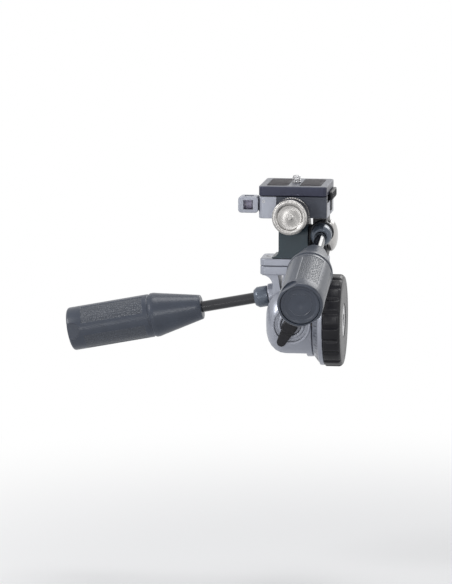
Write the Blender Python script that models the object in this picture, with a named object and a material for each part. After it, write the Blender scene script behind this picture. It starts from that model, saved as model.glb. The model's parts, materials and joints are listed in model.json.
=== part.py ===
"""A three-way pan head on its mounting face, in metres, with +Z up.

The mounting face looks along +X and its centre is the origin. The pan axis is X, the tilt
axis is parallel to Y, and the side tilt axis is parallel to X below the camera clamp. The
head rests tilted forward by a quarter turn, so its camera plate is level.
"""

import math

import bmesh
import bpy
from mathutils import Matrix, Vector

# Gaps between pieces, how far a cutter runs past a face, and what counts as one point
SEAT_GAP = 0.0003
RUN_GAP = 0.0005
PAST = 0.0020
WELD = 0.000002

# Base and pan joint
BASE_RADIUS = 0.0332
BASE_THICKNESS = 0.0126
BASE_CHAMFER = 0.0024
BASE_BACK_CHAMFER = 0.0008
BASE_LOBES = 20
LOBE_DEPTH = 0.0012
LOBE_SHAPE = [(0.0, 1.0), (0.2, 0.0), (0.5, 0.0), (0.8, 0.0)]
SOCKET_RADIUS = 0.00476
SOCKET_DEPTH = 0.0110
SOCKET_INSET = 0.0004
SPINDLE_RADIUS = 0.0065
SPINDLE_FLANGE_RADIUS = 0.0120
SPINDLE_FLANGE_THICKNESS = 0.0038
SET_SCREWS = 3
SET_SCREW_RADIUS = 0.0015
SET_SCREW_CIRCLE = 0.0092
SET_SCREW_LENGTH = 0.0065
SET_SCREW_HEX = 0.0008
PAN_NUT_THICKNESS = 0.0022
PAN_NUT_WALL = 0.0026
BUSH_WALL = 0.0018
PAN_WASHER_THICKNESS = 0.0010
STUB_RADIUS = 0.0200
STUB_LENGTH = 0.0068
SCALE_RIM_RADIUS = 0.0324
SCALE_RIM_WIDTH = 0.0032

# Pan housing
BARREL_RADIUS = 0.0264
BARREL_FILLET = 0.0145
HEAD_SET = 0.0355
BARREL_END_REACH = 0.0195
TONGUE_HUB_RADIUS = 0.0095
TONGUE_THICKNESS = 0.0240
THRUST_WASHER_THICKNESS = 0.0010
THRUST_WASHER_RADIUS = 0.0092
TILT_AXLE_RADIUS = 0.0050
TILT_AXLE_REACH = 0.0182
BOSS_RADIUS = 0.0142
BOSS_PROUD = 0.0012
BOSS_RING_WIDTH = 0.0020
BOSS_RECESS_DEPTH = 0.0022
COVER_DISH = 0.60
COLLAR_RADIUS = 0.0097
COLLAR_BORE = 0.0070
COLLAR_HEIGHT = 0.0018

# Pan lock
LOCK_BARREL_RADIUS = 0.0055
LOCK_BARREL_LENGTH = 0.0122
LOCK_BARREL_ROUND = 0.0012
LOCK_WING_ROOT = 0.0048
LOCK_WING_TIP = 0.0034
LOCK_WING_REACH = 0.0162
LOCK_WING_SET = 0.0032
LOCK_WING_THICKNESS = 0.0052
LOCK_WING_ANGLE = math.radians(242)
LOCK_STUD_RADIUS = 0.0023
LOCK_STUD_GRIP = 0.0060
BRAKE_PIN_RADIUS = 0.0014
BRAKE_PIN_DEPTH = 0.0040

# Tilt arm and the two bands above it
ARM_LEFT = 0.0150
ARM_HEEL = 0.0020
ARM_FLARE = 0.0080
BRIDGE_HALF_LENGTH = 0.0240
BRIDGE_HALF_DEPTH = 0.0142
BRIDGE_CORNER = 0.0040
BRIDGE_BOTTOM = 0.0341
BRIDGE_TOP = 0.0402
BAND_HEIGHT = 0.0053
BAND_EASE = 0.0006
SLIT_TOP_WIDTH = 0.0038
SLIT_FOOT_WIDTH = 0.0016
SLIT_TOP_X = -0.0091
SLIT_FOOT_X = -0.0036
SLIT_FOOT_Z = 0.0024
BAND_SCREW_RADIUS = 0.0016
BAND_SCREW_HEAD = 0.0028
BAND_SCREW_HEAD_DEPTH = 0.0016
BAND_SCREW_LENGTH = 0.0096
BAND_SCREW_SPREAD = 0.0196

# Neck
NECK_HALF_LENGTH = 0.0105
NECK_HALF_DEPTH = 0.0138
NECK_FLARE = 0.0048
NECK_LIP = 0.0008
NECK_SCREW_RADIUS = 0.0018
NECK_SCREW_HEAD = 0.0032
NECK_SCREW_HEAD_DEPTH = 0.0022
NECK_SCREW_LENGTH = 0.0110
NECK_SCREW_SPREAD = 0.0058

# Side tilt joint
FLIP_Z = 0.0615
FLIP_AXLE_RADIUS = 0.0048
FLIP_AXLE_DEPTH = 0.0130
FLIP_WASHER_THICKNESS = 0.0010
FLIP_WASHER_RADIUS = 0.0080
FLIP_HUB_LENGTH = 0.0120
FLIP_HUB_RADIUS = 0.0076
FLIP_HUB_STEP = 0.0019
FLIP_FLANGE_RADIUS = 0.0152
FLIP_FLANGE_THICKNESS = 0.0028
FLIP_BLOCK_HALF_DEPTH = 0.0122
DOME_RADIUS = 0.0113
DOME_HEIGHT = 0.0062
DOME_RIM = 0.0010
DOME_BORE_DEPTH = 0.0026
DOME_STEPS = 5

# Camera clamp
PLATFORM_OFFSET = 0.0009
PLATFORM_HALF_LENGTH = 0.0243
PLATFORM_HALF_DEPTH = 0.0260
PLATFORM_THICKNESS = 0.0157
PLATFORM_CLEARANCE = 0.0148
PLATFORM_CORNER = 0.0028
PLATFORM_EASE = 0.0006
CHANNEL_DEPTH = 0.0050
CHANNEL_MOUTH = 0.0170
CHANNEL_FLANK = 0.0030
JAW_LENGTH = 0.0355
JAW_THICKNESS = 0.0051
JAW_LIFT = 0.0009
JAW_PIN_RADIUS = 0.0016
JAW_PIN_SPREAD = 0.0130
JAW_PIN_LENGTH = 0.0140
JAW_PIN_RISE = 0.0024
CLAMP_KNOB_RADIUS = 0.0125
CLAMP_KNOB_LENGTH = 0.0168
CLAMP_KNOB_NECK = 0.0030
CLAMP_KNOB_NECK_RADIUS = 0.0055
CLAMP_KNOB_EASE = 0.0008
CLAMP_KNOB_RIM = 0.0032
CLAMP_KNOB_DISH = 0.0016
CLAMP_KNOB_Z = 0.0796
CLAMP_KNOB_SKIN = 0.0050
CLAMP_STUD_RADIUS = 0.0025
CLAMP_STUD_END = 0.0080
POCKET_DEPTH = 0.0065
POCKET_FRONT = -0.0040
POCKET_BACK = 0.0230
POCKET_WALL = 0.0024
PLATFORM_SCREW_RADIUS = 0.0020
PLATFORM_SCREW_HEAD = 0.0032
PLATFORM_SCREW_HEAD_DEPTH = 0.0024
PLATFORM_SCREW_LENGTH = 0.0146
PLATFORM_SCREW_SPREAD = 0.0068
PLATFORM_SCREW_INSET = 0.0074

# Level
LEVEL_LENGTH = 0.0144
LEVEL_DEPTH = 0.0132
LEVEL_HEIGHT = 0.0116
LEVEL_DROP = 0.0003
LEVEL_CORNER = 0.0022
LEVEL_WINDOW_LENGTH = 0.0068
LEVEL_WINDOW_HEIGHT = 0.0068
VIAL_RADIUS = 0.0040
VIAL_LENGTH = 0.0106

# Safety latch
LATCH_LENGTH = 0.0330
LATCH_HEIGHT = 0.0064
LATCH_THICKNESS = 0.0022
LATCH_LIP = 0.0020
LATCH_CENTRE_Y = 0.0045
LATCH_STEM_NECK = 0.0030
LATCH_STEM_HEAD = 0.0050
LATCH_STEM_DEPTH = 0.0024
LATCH_SKIN = 0.0012
LATCH_STEM_BOTTOM = 0.0795

# Camera plate
SHOE_THICKNESS = 0.0071
SHOE_EASE = 0.0007
DOVETAIL_INSET = 0.0062
PAD_GAP = 0.0088
PAD_LENGTH = 0.0148
PAD_HALF_DEPTH = 0.0205
PAD_CORNER = 0.0016
PAD_SINK = 0.0008
PAD_PROUD = 0.0004
CAMERA_SCREW_RADIUS = 0.003175
CAMERA_SCREW_PROUD = 0.0052
CAMERA_SCREW_NECK = 0.0024
CAMERA_SCREW_NECK_TOP = 0.0935
CAMERA_SCREW_HEAD = 0.0070
CAMERA_SCREW_HEAD_DEPTH = 0.0028
CAMERA_SCREW_SLOT = 0.0014
CLIP_RADIUS = 0.0060
CLIP_THICKNESS = 0.0008

# Handles
FERRULE_RADIUS = 0.0075
FERRULE_TIP_RADIUS = 0.0056
FERRULE_TAPER = 0.0026
FERRULE_LENGTH = 0.0102
ROD_RADIUS = 0.0040
ROD_LENGTH = 0.0392
ROD_DEPTH = 0.0300
GRIP_NARROW_RADIUS = 0.0088
GRIP_RADIUS = 0.0160
GRIP_CONE_LENGTH = 0.0340
GRIP_LENGTH = 0.0983
GRIP_RIDGE_ROUND = 0.0040
GRIP_RIDGE_WIDTH = 0.0024
GRIP_GROOVE_WIDTH = 0.0014
GRIP_GROOVE_DEPTH = 0.0007
GRIP_END_ROUND = 0.0020
CAP_RADIUS = 0.0134
CAP_SINK = 0.0009
CAP_THICKNESS = 0.0032
CAP_RIM = 0.0014
CAP_DISH = 0.0010
NOTCH_LENGTH = 0.0090
NOTCH_RADIUS = 0.0061
NOTCH_DEPTH = 0.0018
TILT_SCREW_RADIUS = 0.0029
HANDLE_BOSS_RADIUS = 0.0084
HANDLE_BOSS_DEPTH = 0.0080
TILT_SCREW_LENGTH = 0.0150
TILT_HANDLE_DROP = math.radians(10.8)
TILT_HANDLE_X = -0.0540
TILT_HANDLE_Z = 0.0172
FLIP_SCREW_RADIUS = 0.0024
FLIP_SCREW_LENGTH = 0.0075
FLIP_HANDLE_DROP = math.radians(12)
FLIP_HANDLE_X = -0.0147
FLIP_HANDLE_Y = -0.0136
FLIP_HANDLE_Z = 0.0653

# Facets on round pieces
ROUND = 32
MEDIUM = 22
SMALL = 14
TINY = 8
HEXAGON = 6
CURVE_STEPS = 6
NECK_STEPS = 16

# Angles in degrees: the arm's hub starts here, and edges above these are eased or left sharp
HUB_START = 225
EASE_ANGLE = 40
SHARP_ANGLE = 32

# Places that follow from the sizes above
HEAD_X = -HEAD_SET
SCALE_BACK_X = -BASE_THICKNESS - SEAT_GAP
STUB_FACE_X = SCALE_BACK_X - PAN_WASHER_THICKNESS - SEAT_GAP
BARREL_FACE_X = STUB_FACE_X - STUB_LENGTH
SCALE_FRONT_X = BARREL_FACE_X + RUN_GAP
BARREL_END_X = HEAD_X - BARREL_END_REACH
SLOT_FLOOR_X = HEAD_X + TONGUE_HUB_RADIUS + RUN_GAP
TONGUE_HALF = TONGUE_THICKNESS / 2
SLOT_HALF = TONGUE_HALF + THRUST_WASHER_THICKNESS + 2 * SEAT_GAP
BOSS_FACE = BARREL_RADIUS + BOSS_PROUD
BOSS_FLOOR = BOSS_FACE - BOSS_RECESS_DEPTH
BOSS_WELL_RADIUS = BOSS_RADIUS - BOSS_RING_WIDTH
SPINDLE_TIP_X = SLOT_FLOOR_X + SEAT_GAP
FLANGE_BACK_X = -SOCKET_INSET - SPINDLE_FLANGE_THICKNESS
SPINDLE_HOLE = SPINDLE_RADIUS + SEAT_GAP
PAN_NUT_RIGHT_X = SPINDLE_TIP_X + PAN_NUT_THICKNESS
PAN_NUT_RADIUS = SPINDLE_HOLE + PAN_NUT_WALL
BUSH_RADIUS = SPINDLE_HOLE + BUSH_WALL
BRAKE_PIN_REACH = BARREL_RADIUS - BRAKE_PIN_DEPTH
LOCK_STUD_TIP = BRAKE_PIN_REACH - BRAKE_PIN_RADIUS
COLLAR_FACE = BOSS_FLOOR + SEAT_GAP + COLLAR_HEIGHT
LOCK_START = BOSS_FLOOR + SEAT_GAP
BAND_BOTTOM = BRIDGE_TOP + SEAT_GAP
BAND_TOP = BAND_BOTTOM + BAND_HEIGHT
NECK_BOTTOM = BAND_TOP + SEAT_GAP
NECK_RIGHT_X = HEAD_X + NECK_HALF_LENGTH
FLIP_WASHER_X = NECK_RIGHT_X + SEAT_GAP
BRACKET_LEFT_X = FLIP_WASHER_X + FLIP_WASHER_THICKNESS + SEAT_GAP
BRACKET_RIGHT_X = BRACKET_LEFT_X + FLIP_HUB_LENGTH
BLOCK_LEFT_X = BRACKET_LEFT_X + FLIP_HUB_STEP
DOME_LEFT_X = BRACKET_RIGHT_X + RUN_GAP
PLATFORM_X = HEAD_X + PLATFORM_OFFSET
PLATFORM_BOTTOM = FLIP_Z + PLATFORM_CLEARANCE
PLATFORM_TOP = PLATFORM_BOTTOM + PLATFORM_THICKNESS
PLATFORM_LEFT = PLATFORM_X - PLATFORM_HALF_LENGTH
PLATFORM_RIGHT = PLATFORM_X + PLATFORM_HALF_LENGTH
PLATFORM_SCREW_X = PLATFORM_RIGHT - PLATFORM_SCREW_INSET
CHANNEL_FLOOR = PLATFORM_TOP - CHANNEL_DEPTH
CHANNEL_BASE = CHANNEL_MOUTH + CHANNEL_FLANK
JAW_LEFT = PLATFORM_RIGHT - JAW_LENGTH
JAW_X = PLATFORM_RIGHT - JAW_LENGTH / 2
JAW_BACK_Y = -PLATFORM_HALF_DEPTH + JAW_THICKNESS
JAW_SEAT_Y = JAW_BACK_Y + SEAT_GAP
KNOB_BACK_Y = -PLATFORM_HALF_DEPTH - SEAT_GAP
KNOB_SHOULDER_Y = KNOB_BACK_Y - CLAMP_KNOB_NECK
KNOB_FACE_Y = KNOB_SHOULDER_Y - CLAMP_KNOB_LENGTH
SHOE_BOTTOM = PLATFORM_TOP + SEAT_GAP
SHOE_TOP = SHOE_BOTTOM + SHOE_THICKNESS
DOVETAIL_BOTTOM = CHANNEL_FLOOR + SEAT_GAP
DOVETAIL_TOP_HALF = CHANNEL_MOUTH - SEAT_GAP
DOVETAIL_BASE_HALF = CHANNEL_BASE - SEAT_GAP
SCREW_HEAD_BOTTOM = CHANNEL_FLOOR + 2 * SEAT_GAP
SCREW_HEAD_TOP = SCREW_HEAD_BOTTOM + CAMERA_SCREW_HEAD_DEPTH
CLIP_BOTTOM = SCREW_HEAD_TOP + SEAT_GAP
SCREW_ROOM_TOP = CLIP_BOTTOM + CLIP_THICKNESS + SEAT_GAP
LATCH_LEFT_X = PLATFORM_RIGHT + SEAT_GAP
LATCH_TOP = SHOE_BOTTOM + LATCH_LIP
LATCH_BOTTOM = LATCH_TOP - LATCH_HEIGHT
LEVEL_RIGHT_X = PLATFORM_LEFT - SEAT_GAP
LEVEL_TOP = PLATFORM_TOP - LEVEL_DROP
LEVEL_X = LEVEL_RIGHT_X - LEVEL_LENGTH / 2
LEVEL_Y = -PLATFORM_HALF_DEPTH + LEVEL_DEPTH / 2
LEVEL_Z = LEVEL_TOP - LEVEL_HEIGHT / 2
GRIP_START = RUN_GAP + FERRULE_LENGTH + ROD_LENGTH
GRIP_END = GRIP_START + GRIP_LENGTH
TILT_HANDLE_OUT = (-math.cos(TILT_HANDLE_DROP), 0, -math.sin(TILT_HANDLE_DROP))
FLIP_HANDLE_OUT = (0, -math.cos(FLIP_HANDLE_DROP), -math.sin(FLIP_HANDLE_DROP))
TILT_HANDLE_ROOT = (TILT_HANDLE_X, 0, TILT_HANDLE_Z)
FLIP_HANDLE_ROOT = (FLIP_HANDLE_X, FLIP_HANDLE_Y, FLIP_HANDLE_Z)
TILT_SEAM = (0, -1, 0)
FLIP_SEAM = (-0.5, 0, 0.86)

SURFACES = {
    "silver_paint": ((0.62, 0.64, 0.69), 0.34, 0.55),
    "turned_aluminium": ((0.74, 0.72, 0.71), 0.26, 1.0),
    "black_plastic": ((0.012, 0.012, 0.016), 0.34, 0.0),
    "black_casting": ((0.016, 0.019, 0.024), 0.42, 0.2),
    "teal_casting": ((0.022, 0.036, 0.046), 0.40, 0.3),
    "slate_casting": ((0.05, 0.055, 0.07), 0.38, 0.4),
    "navy_anodised": ((0.028, 0.031, 0.058), 0.36, 0.4),
    "grip_rubber": ((0.105, 0.122, 0.150), 0.58, 0.0),
    "pad_rubber": ((0.035, 0.030, 0.036), 0.70, 0.0),
    "black_rod": ((0.010, 0.012, 0.018), 0.16, 0.3),
    "steel": ((0.60, 0.60, 0.61), 0.25, 1.0),
    "brass": ((0.70, 0.52, 0.26), 0.30, 1.0),
    "nylon": ((0.06, 0.06, 0.06), 0.50, 0.0),
    "vial_acrylic": ((0.50, 0.48, 0.58), 0.05, 0.0),
}


def clear_scene():
    """Removes whatever the file holds before the part is built."""
    for item in list(bpy.data.objects):
        bpy.data.objects.remove(item, do_unlink=True)


def surface(name):
    """The Principled material of one kind of surface, made once."""
    found = bpy.data.materials.get(name)
    if found:
        return found
    colour, roughness, metallic = SURFACES[name]
    made = bpy.data.materials.new(name)
    made.use_nodes = True
    shader = made.node_tree.nodes["Principled BSDF"]
    shader.inputs["Base Color"].default_value = (*colour, 1.0)
    shader.inputs["Roughness"].default_value = roughness
    shader.inputs["Metallic"].default_value = metallic
    return made


def new_piece(name, fill, finish):
    """Links a new object with the mesh that a fill function draws."""
    mesh = bpy.data.meshes.new(name)
    form = bmesh.new()
    fill(form)
    bmesh.ops.recalc_face_normals(form, faces=form.faces[:])
    form.to_mesh(mesh)
    form.free()
    made = bpy.data.objects.new(name, mesh)
    bpy.context.scene.collection.objects.link(made)
    if finish:
        mesh.materials.append(surface(finish))
    return made


def turned(name, profile, finish=None, segments=ROUND, axis="X", centre=(0, 0, 0)):
    """Turns a profile of (along, radius) points about an axis through a centre.

    A profile that starts on the axis closes there, any other profile closes on itself.
    """
    along = {"X": Vector((1, 0, 0)), "Y": Vector((0, 1, 0)), "Z": Vector((0, 0, 1))}[axis]
    first = {"X": Vector((0, 1, 0)), "Y": Vector((0, 0, 1)), "Z": Vector((1, 0, 0))}[axis]
    second = along.cross(first)
    origin = Vector(centre)

    def fill(form):
        rows = []
        for distance, radius in profile:
            point = origin + along * distance
            row = []
            for step in range(segments if radius else 1):
                turn = 2 * math.pi * step / segments
                spoke = first * math.cos(turn) + second * math.sin(turn)
                row.append(form.verts.new(point + spoke * radius))
            rows.append(row)
        pairs = list(zip(rows, rows[1:]))
        if profile[0][1]:
            pairs.append((rows[-1], rows[0]))
        for low, high in pairs:
            join_rows(form, low, high, segments)

    return new_piece(name, fill, finish)


def join_rows(form, low, high, segments):
    """Faces between two rings of a turned form, either of which may be one point."""
    if len(low) == 1 and len(high) == 1:
        return
    for step in range(segments):
        after = (step + 1) % segments
        if len(low) == 1:
            form.faces.new((low[0], high[step], high[after]))
        elif len(high) == 1:
            form.faces.new((low[step], high[0], low[after]))
        else:
            form.faces.new((low[step], high[step], high[after], low[after]))


def pushed(name, outline, start, end, finish=None, axis="Y"):
    """Pushes a flat outline from start to end along an axis.

    Outline points are (x, z) for Y, (y, z) for X and (x, y) for Z.
    """

    def place(point, depth):
        if axis == "Y":
            return (point[0], depth, point[1])
        if axis == "X":
            return (depth, point[0], point[1])
        return (point[0], point[1], depth)

    def fill(form):
        low = [form.verts.new(place(point, start)) for point in outline]
        high = [form.verts.new(place(point, end)) for point in outline]
        form.faces.new(low)
        form.faces.new(high[::-1])
        for step in range(len(outline)):
            after = (step + 1) % len(outline)
            form.faces.new((low[step], high[step], high[after], low[after]))

    return new_piece(name, fill, finish)


def block(low, high):
    """A plain box between two corners, for cutting."""
    outline = [(low[0], low[1]), (high[0], low[1]), (high[0], high[1]), (low[0], high[1])]
    return pushed("cutter", outline, low[2], high[2], None, "Z")


def arc(centre, radius, start, end, steps):
    """Points on an arc, given in degrees, both ends included."""
    points = []
    for step in range(steps + 1):
        turn = math.radians(start + (end - start) * step / steps)
        points.append((centre[0] + radius * math.cos(turn), centre[1] + radius * math.sin(turn)))
    return points


def rounded(low, high, radius, steps=3):
    """Outline of a rectangle between two corners, with round corners."""
    left, bottom = low[0] + radius, low[1] + radius
    right, top = high[0] - radius, high[1] - radius
    corners = [(right, top), (left, top), (left, bottom), (right, bottom)]
    points = []
    for number, corner in enumerate(corners):
        points += arc(corner, radius, 90 * number, 90 * number + 90, steps)
    return points


def take_result(target):
    """Replaces a piece's mesh with what its modifiers make of it."""
    graph = bpy.context.evaluated_depsgraph_get()
    result = bpy.data.meshes.new_from_object(target.evaluated_get(graph))
    form = bmesh.new()
    form.from_mesh(result)
    bmesh.ops.remove_doubles(form, verts=form.verts[:], dist=WELD)
    bmesh.ops.dissolve_degenerate(form, edges=form.edges[:], dist=WELD)
    form.to_mesh(result)
    form.free()
    before = target.data
    target.modifiers.clear()
    target.data = result
    bpy.data.meshes.remove(before)
    return target


def combine(target, tool, operation):
    """Cuts, joins or intersects a piece with a tool, and removes the tool."""
    change = target.modifiers.new("combine", "BOOLEAN")
    change.object = tool
    change.operation = operation
    change.solver = "EXACT"
    take_result(target)
    bpy.data.objects.remove(tool, do_unlink=True)
    return target


def cut(target, *tools):
    for tool in tools:
        combine(target, tool, "DIFFERENCE")
    return target


def join(target, *tools):
    for tool in tools:
        combine(target, tool, "UNION")
    return target


def hole(radius, start, end, axis, centre, segments=SMALL):
    """A cutter for a round hole from start to end along an axis through a centre."""
    low, high = min(start, end), max(start, end)
    profile = [(low, 0), (low, radius), (high, radius), (high, 0)]
    return turned("cutter", profile, None, segments, axis, centre)


def ease(target, width, segments=2):
    """Rounds the sharp edges of a piece before anything is cut from it."""
    change = target.modifiers.new("ease", "BEVEL")
    change.width = width
    change.segments = segments
    change.limit_method = "ANGLE"
    change.angle_limit = math.radians(EASE_ANGLE)
    return take_result(target)


def aimed(piece, root, direction):
    """Moves a piece drawn along its own Z axis to a root place, looking along a direction."""
    turn = Vector(direction).to_track_quat("Z", "Y").to_matrix().to_4x4()
    piece.data.transform(Matrix.Translation(root) @ turn)
    return piece


def pivot(name, place, carrier=None, direction=None):
    """An empty on a joint's axis. With a direction, its own Z axis points that way."""
    made = bpy.data.objects.new(name, None)
    bpy.context.scene.collection.objects.link(made)
    made.parent = carrier
    made.location = Vector(place) - (carrier.matrix_world.translation if carrier else Vector())
    if direction:
        made.rotation_mode = "QUATERNION"
        made.rotation_quaternion = Vector(direction).to_track_quat("Z", "Y")
    bpy.context.view_layer.update()
    return made


def seat(carrier, *pieces):
    """Hangs pieces that were drawn in place on a pivot, and finishes their shading."""
    for piece in pieces:
        if carrier:
            piece.data.transform(carrier.matrix_world.inverted())
        seat_local(carrier, piece)


def seat_local(carrier, *pieces):
    """Hangs pieces that were drawn in the pivot's own axes."""
    for piece in pieces:
        piece.parent = carrier
        piece.data.shade_smooth()
        piece.data.set_sharp_from_angle(angle=math.radians(SHARP_ANGLE))


def ring_profile(start, end, inner, outer):
    """Profile of a plain ring."""
    return [(start, inner), (start, outer), (end, outer), (end, inner)]


def headed_screw(name, head_place, length, radius, head, head_depth):
    """A socket screw along Z. A negative length points up from the face of its head."""
    top, down = head_place[2], -math.copysign(1, length)
    profile = [
        (top + down * abs(length), 0),
        (top + down * abs(length), radius),
        (top + down * head_depth, radius),
        (top + down * head_depth, head),
        (top, head),
        (top, head / 2),
        (top + down * head_depth / 2, head / 2),
        (top + down * head_depth / 2, 0),
    ]
    return turned(name, profile, "steel", TINY, "Z", (head_place[0], head_place[1], 0))


def screw_room(head_place, length, radius, head, head_depth):
    """The stepped hole that a headed screw sits in."""
    top, down = head_place[2], -math.copysign(1, length)
    profile = [
        (top + down * (abs(length) + SEAT_GAP), 0),
        (top + down * (abs(length) + SEAT_GAP), radius + SEAT_GAP),
        (top + down * (head_depth + SEAT_GAP), radius + SEAT_GAP),
        (top + down * (head_depth + SEAT_GAP), head + SEAT_GAP),
        (top - down * PAST, head + SEAT_GAP),
        (top - down * PAST, 0),
    ]
    return turned("cutter", profile, None, TINY, "Z", (head_place[0], head_place[1], 0))


def numbered(title, builder, places):
    """Equal pieces, each its own object, with names that count from 1."""
    return [builder(f"{title}_{number}", place) for number, place in enumerate(places, 1)]


def screw_set(title, places, sizes):
    """Equal headed screws."""
    return numbered(title, lambda name, place: headed_screw(name, place, *sizes), places)


def set_screw_places():
    """Three places round the spindle flange, the first at the top."""
    turns = [math.radians(90 + 360 * number / SET_SCREWS) for number in range(SET_SCREWS)]
    return [(0, SET_SCREW_CIRCLE * math.cos(turn), SET_SCREW_CIRCLE * math.sin(turn)) for turn in turns]


def lobed_ring(form, x, limit):
    """A ring of the base's grip edge: wide lobes, a narrow groove between, cut off at a limit."""
    ring = []
    for lobe in range(BASE_LOBES):
        for share, sunk in LOBE_SHAPE:
            turn = 2 * math.pi * (lobe + share) / BASE_LOBES
            radius = min(BASE_RADIUS - LOBE_DEPTH * sunk, limit)
            ring.append(form.verts.new((x, radius * math.cos(turn), radius * math.sin(turn))))
    return ring


def build_base_disc():
    back = -BASE_THICKNESS
    rows = [
        (back, BASE_RADIUS - BASE_BACK_CHAMFER),
        (back + BASE_BACK_CHAMFER, BASE_RADIUS),
        (-BASE_CHAMFER, BASE_RADIUS),
        (-LOBE_DEPTH, BASE_RADIUS - LOBE_DEPTH),
        (0, BASE_RADIUS - BASE_CHAMFER),
    ]

    def fill(form):
        rings = [lobed_ring(form, x, limit) for x, limit in rows]
        for low, high in zip(rings, rings[1:]):
            join_rows(form, low, high, len(low))
        form.faces.new(rings[0])
        form.faces.new(rings[-1])

    disc = new_piece("base_disc", fill, "black_plastic")
    here = (0, 0, 0)
    cut(disc, hole(SPINDLE_HOLE, back - PAST, PAST, "X", here, MEDIUM))
    cut(disc, hole(SPINDLE_FLANGE_RADIUS + SEAT_GAP, FLANGE_BACK_X - SEAT_GAP, PAST, "X", here, MEDIUM))
    tip = -SOCKET_INSET - SET_SCREW_LENGTH - SEAT_GAP
    for place in set_screw_places():
        cut(disc, hole(SET_SCREW_RADIUS + SEAT_GAP, tip, PAST, "X", place, TINY))
    return disc


def build_pan_spindle():
    profile = [
        (-SOCKET_INSET - SOCKET_DEPTH, 0),
        (-SOCKET_INSET - SOCKET_DEPTH, SOCKET_RADIUS),
        (-SOCKET_INSET, SOCKET_RADIUS),
        (-SOCKET_INSET, SPINDLE_FLANGE_RADIUS),
        (FLANGE_BACK_X, SPINDLE_FLANGE_RADIUS),
        (FLANGE_BACK_X, SPINDLE_RADIUS),
        (SPINDLE_TIP_X + RUN_GAP, SPINDLE_RADIUS),
        (SPINDLE_TIP_X, SPINDLE_RADIUS - RUN_GAP),
        (SPINDLE_TIP_X, 0),
    ]
    spindle = turned("pan_spindle", profile, "steel", MEDIUM)
    for place in set_screw_places():
        cut(spindle, hole(SET_SCREW_RADIUS + SEAT_GAP, FLANGE_BACK_X - RUN_GAP, PAST, "X", place, TINY))
    return spindle


def build_set_screw(name, place):
    """One of the set screws that hold the spindle flange in the base."""
    face = -SOCKET_INSET
    profile = [
        (face - SET_SCREW_LENGTH, 0),
        (face - SET_SCREW_LENGTH, SET_SCREW_RADIUS),
        (face, SET_SCREW_RADIUS),
        (face, SET_SCREW_HEX),
        (face - SET_SCREW_RADIUS, SET_SCREW_HEX),
        (face - SET_SCREW_RADIUS, 0),
    ]
    return turned(name, profile, "steel", TINY, "X", place)


def build_pan_scale_ring():
    rim_x = SCALE_BACK_X - SCALE_RIM_WIDTH
    bore = STUB_RADIUS + RUN_GAP
    profile = [
        (SCALE_BACK_X, bore),
        (SCALE_BACK_X, SCALE_RIM_RADIUS - SEAT_GAP),
        (SCALE_BACK_X - SEAT_GAP, SCALE_RIM_RADIUS),
        (rim_x + SEAT_GAP, SCALE_RIM_RADIUS),
        (rim_x, SCALE_RIM_RADIUS - SEAT_GAP),
        (rim_x, SCALE_RIM_RADIUS - 2 * RUN_GAP),
        (SCALE_FRONT_X, BARREL_RADIUS),
        (SCALE_FRONT_X, bore),
    ]
    return turned("pan_scale_ring", profile, "silver_paint")


def build_pan_nut():
    profile = ring_profile(SPINDLE_TIP_X, PAN_NUT_RIGHT_X, SPINDLE_HOLE, PAN_NUT_RADIUS)
    nut = turned("pan_nut", profile, "steel", MEDIUM)
    flats = hole(PAN_NUT_RADIUS, SLOT_FLOOR_X, 0, "X", (0, 0, 0), HEXAGON)
    return combine(nut, flats, "INTERSECT")


def build_pan_bush():
    left, right = PAN_NUT_RIGHT_X + SEAT_GAP, STUB_FACE_X - SEAT_GAP
    return turned("pan_bush", ring_profile(left, right, SPINDLE_HOLE, BUSH_RADIUS), "brass", MEDIUM)


def build_pan_washer():
    left = STUB_FACE_X + SEAT_GAP
    profile = ring_profile(left, left + PAN_WASHER_THICKNESS, BUSH_RADIUS, STUB_RADIUS - RUN_GAP)
    return turned("pan_washer", profile, "nylon", MEDIUM)


def boss_profile(side):
    """A round boss on one cheek of the housing, before its well is cut."""
    return [
        (side * (SLOT_HALF - SEAT_GAP), 0),
        (side * (SLOT_HALF - SEAT_GAP), BOSS_RADIUS),
        (side * (BOSS_FACE - RUN_GAP), BOSS_RADIUS),
        (side * BOSS_FACE, BOSS_RADIUS - RUN_GAP),
        (side * BOSS_FACE, 0),
    ]


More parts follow.
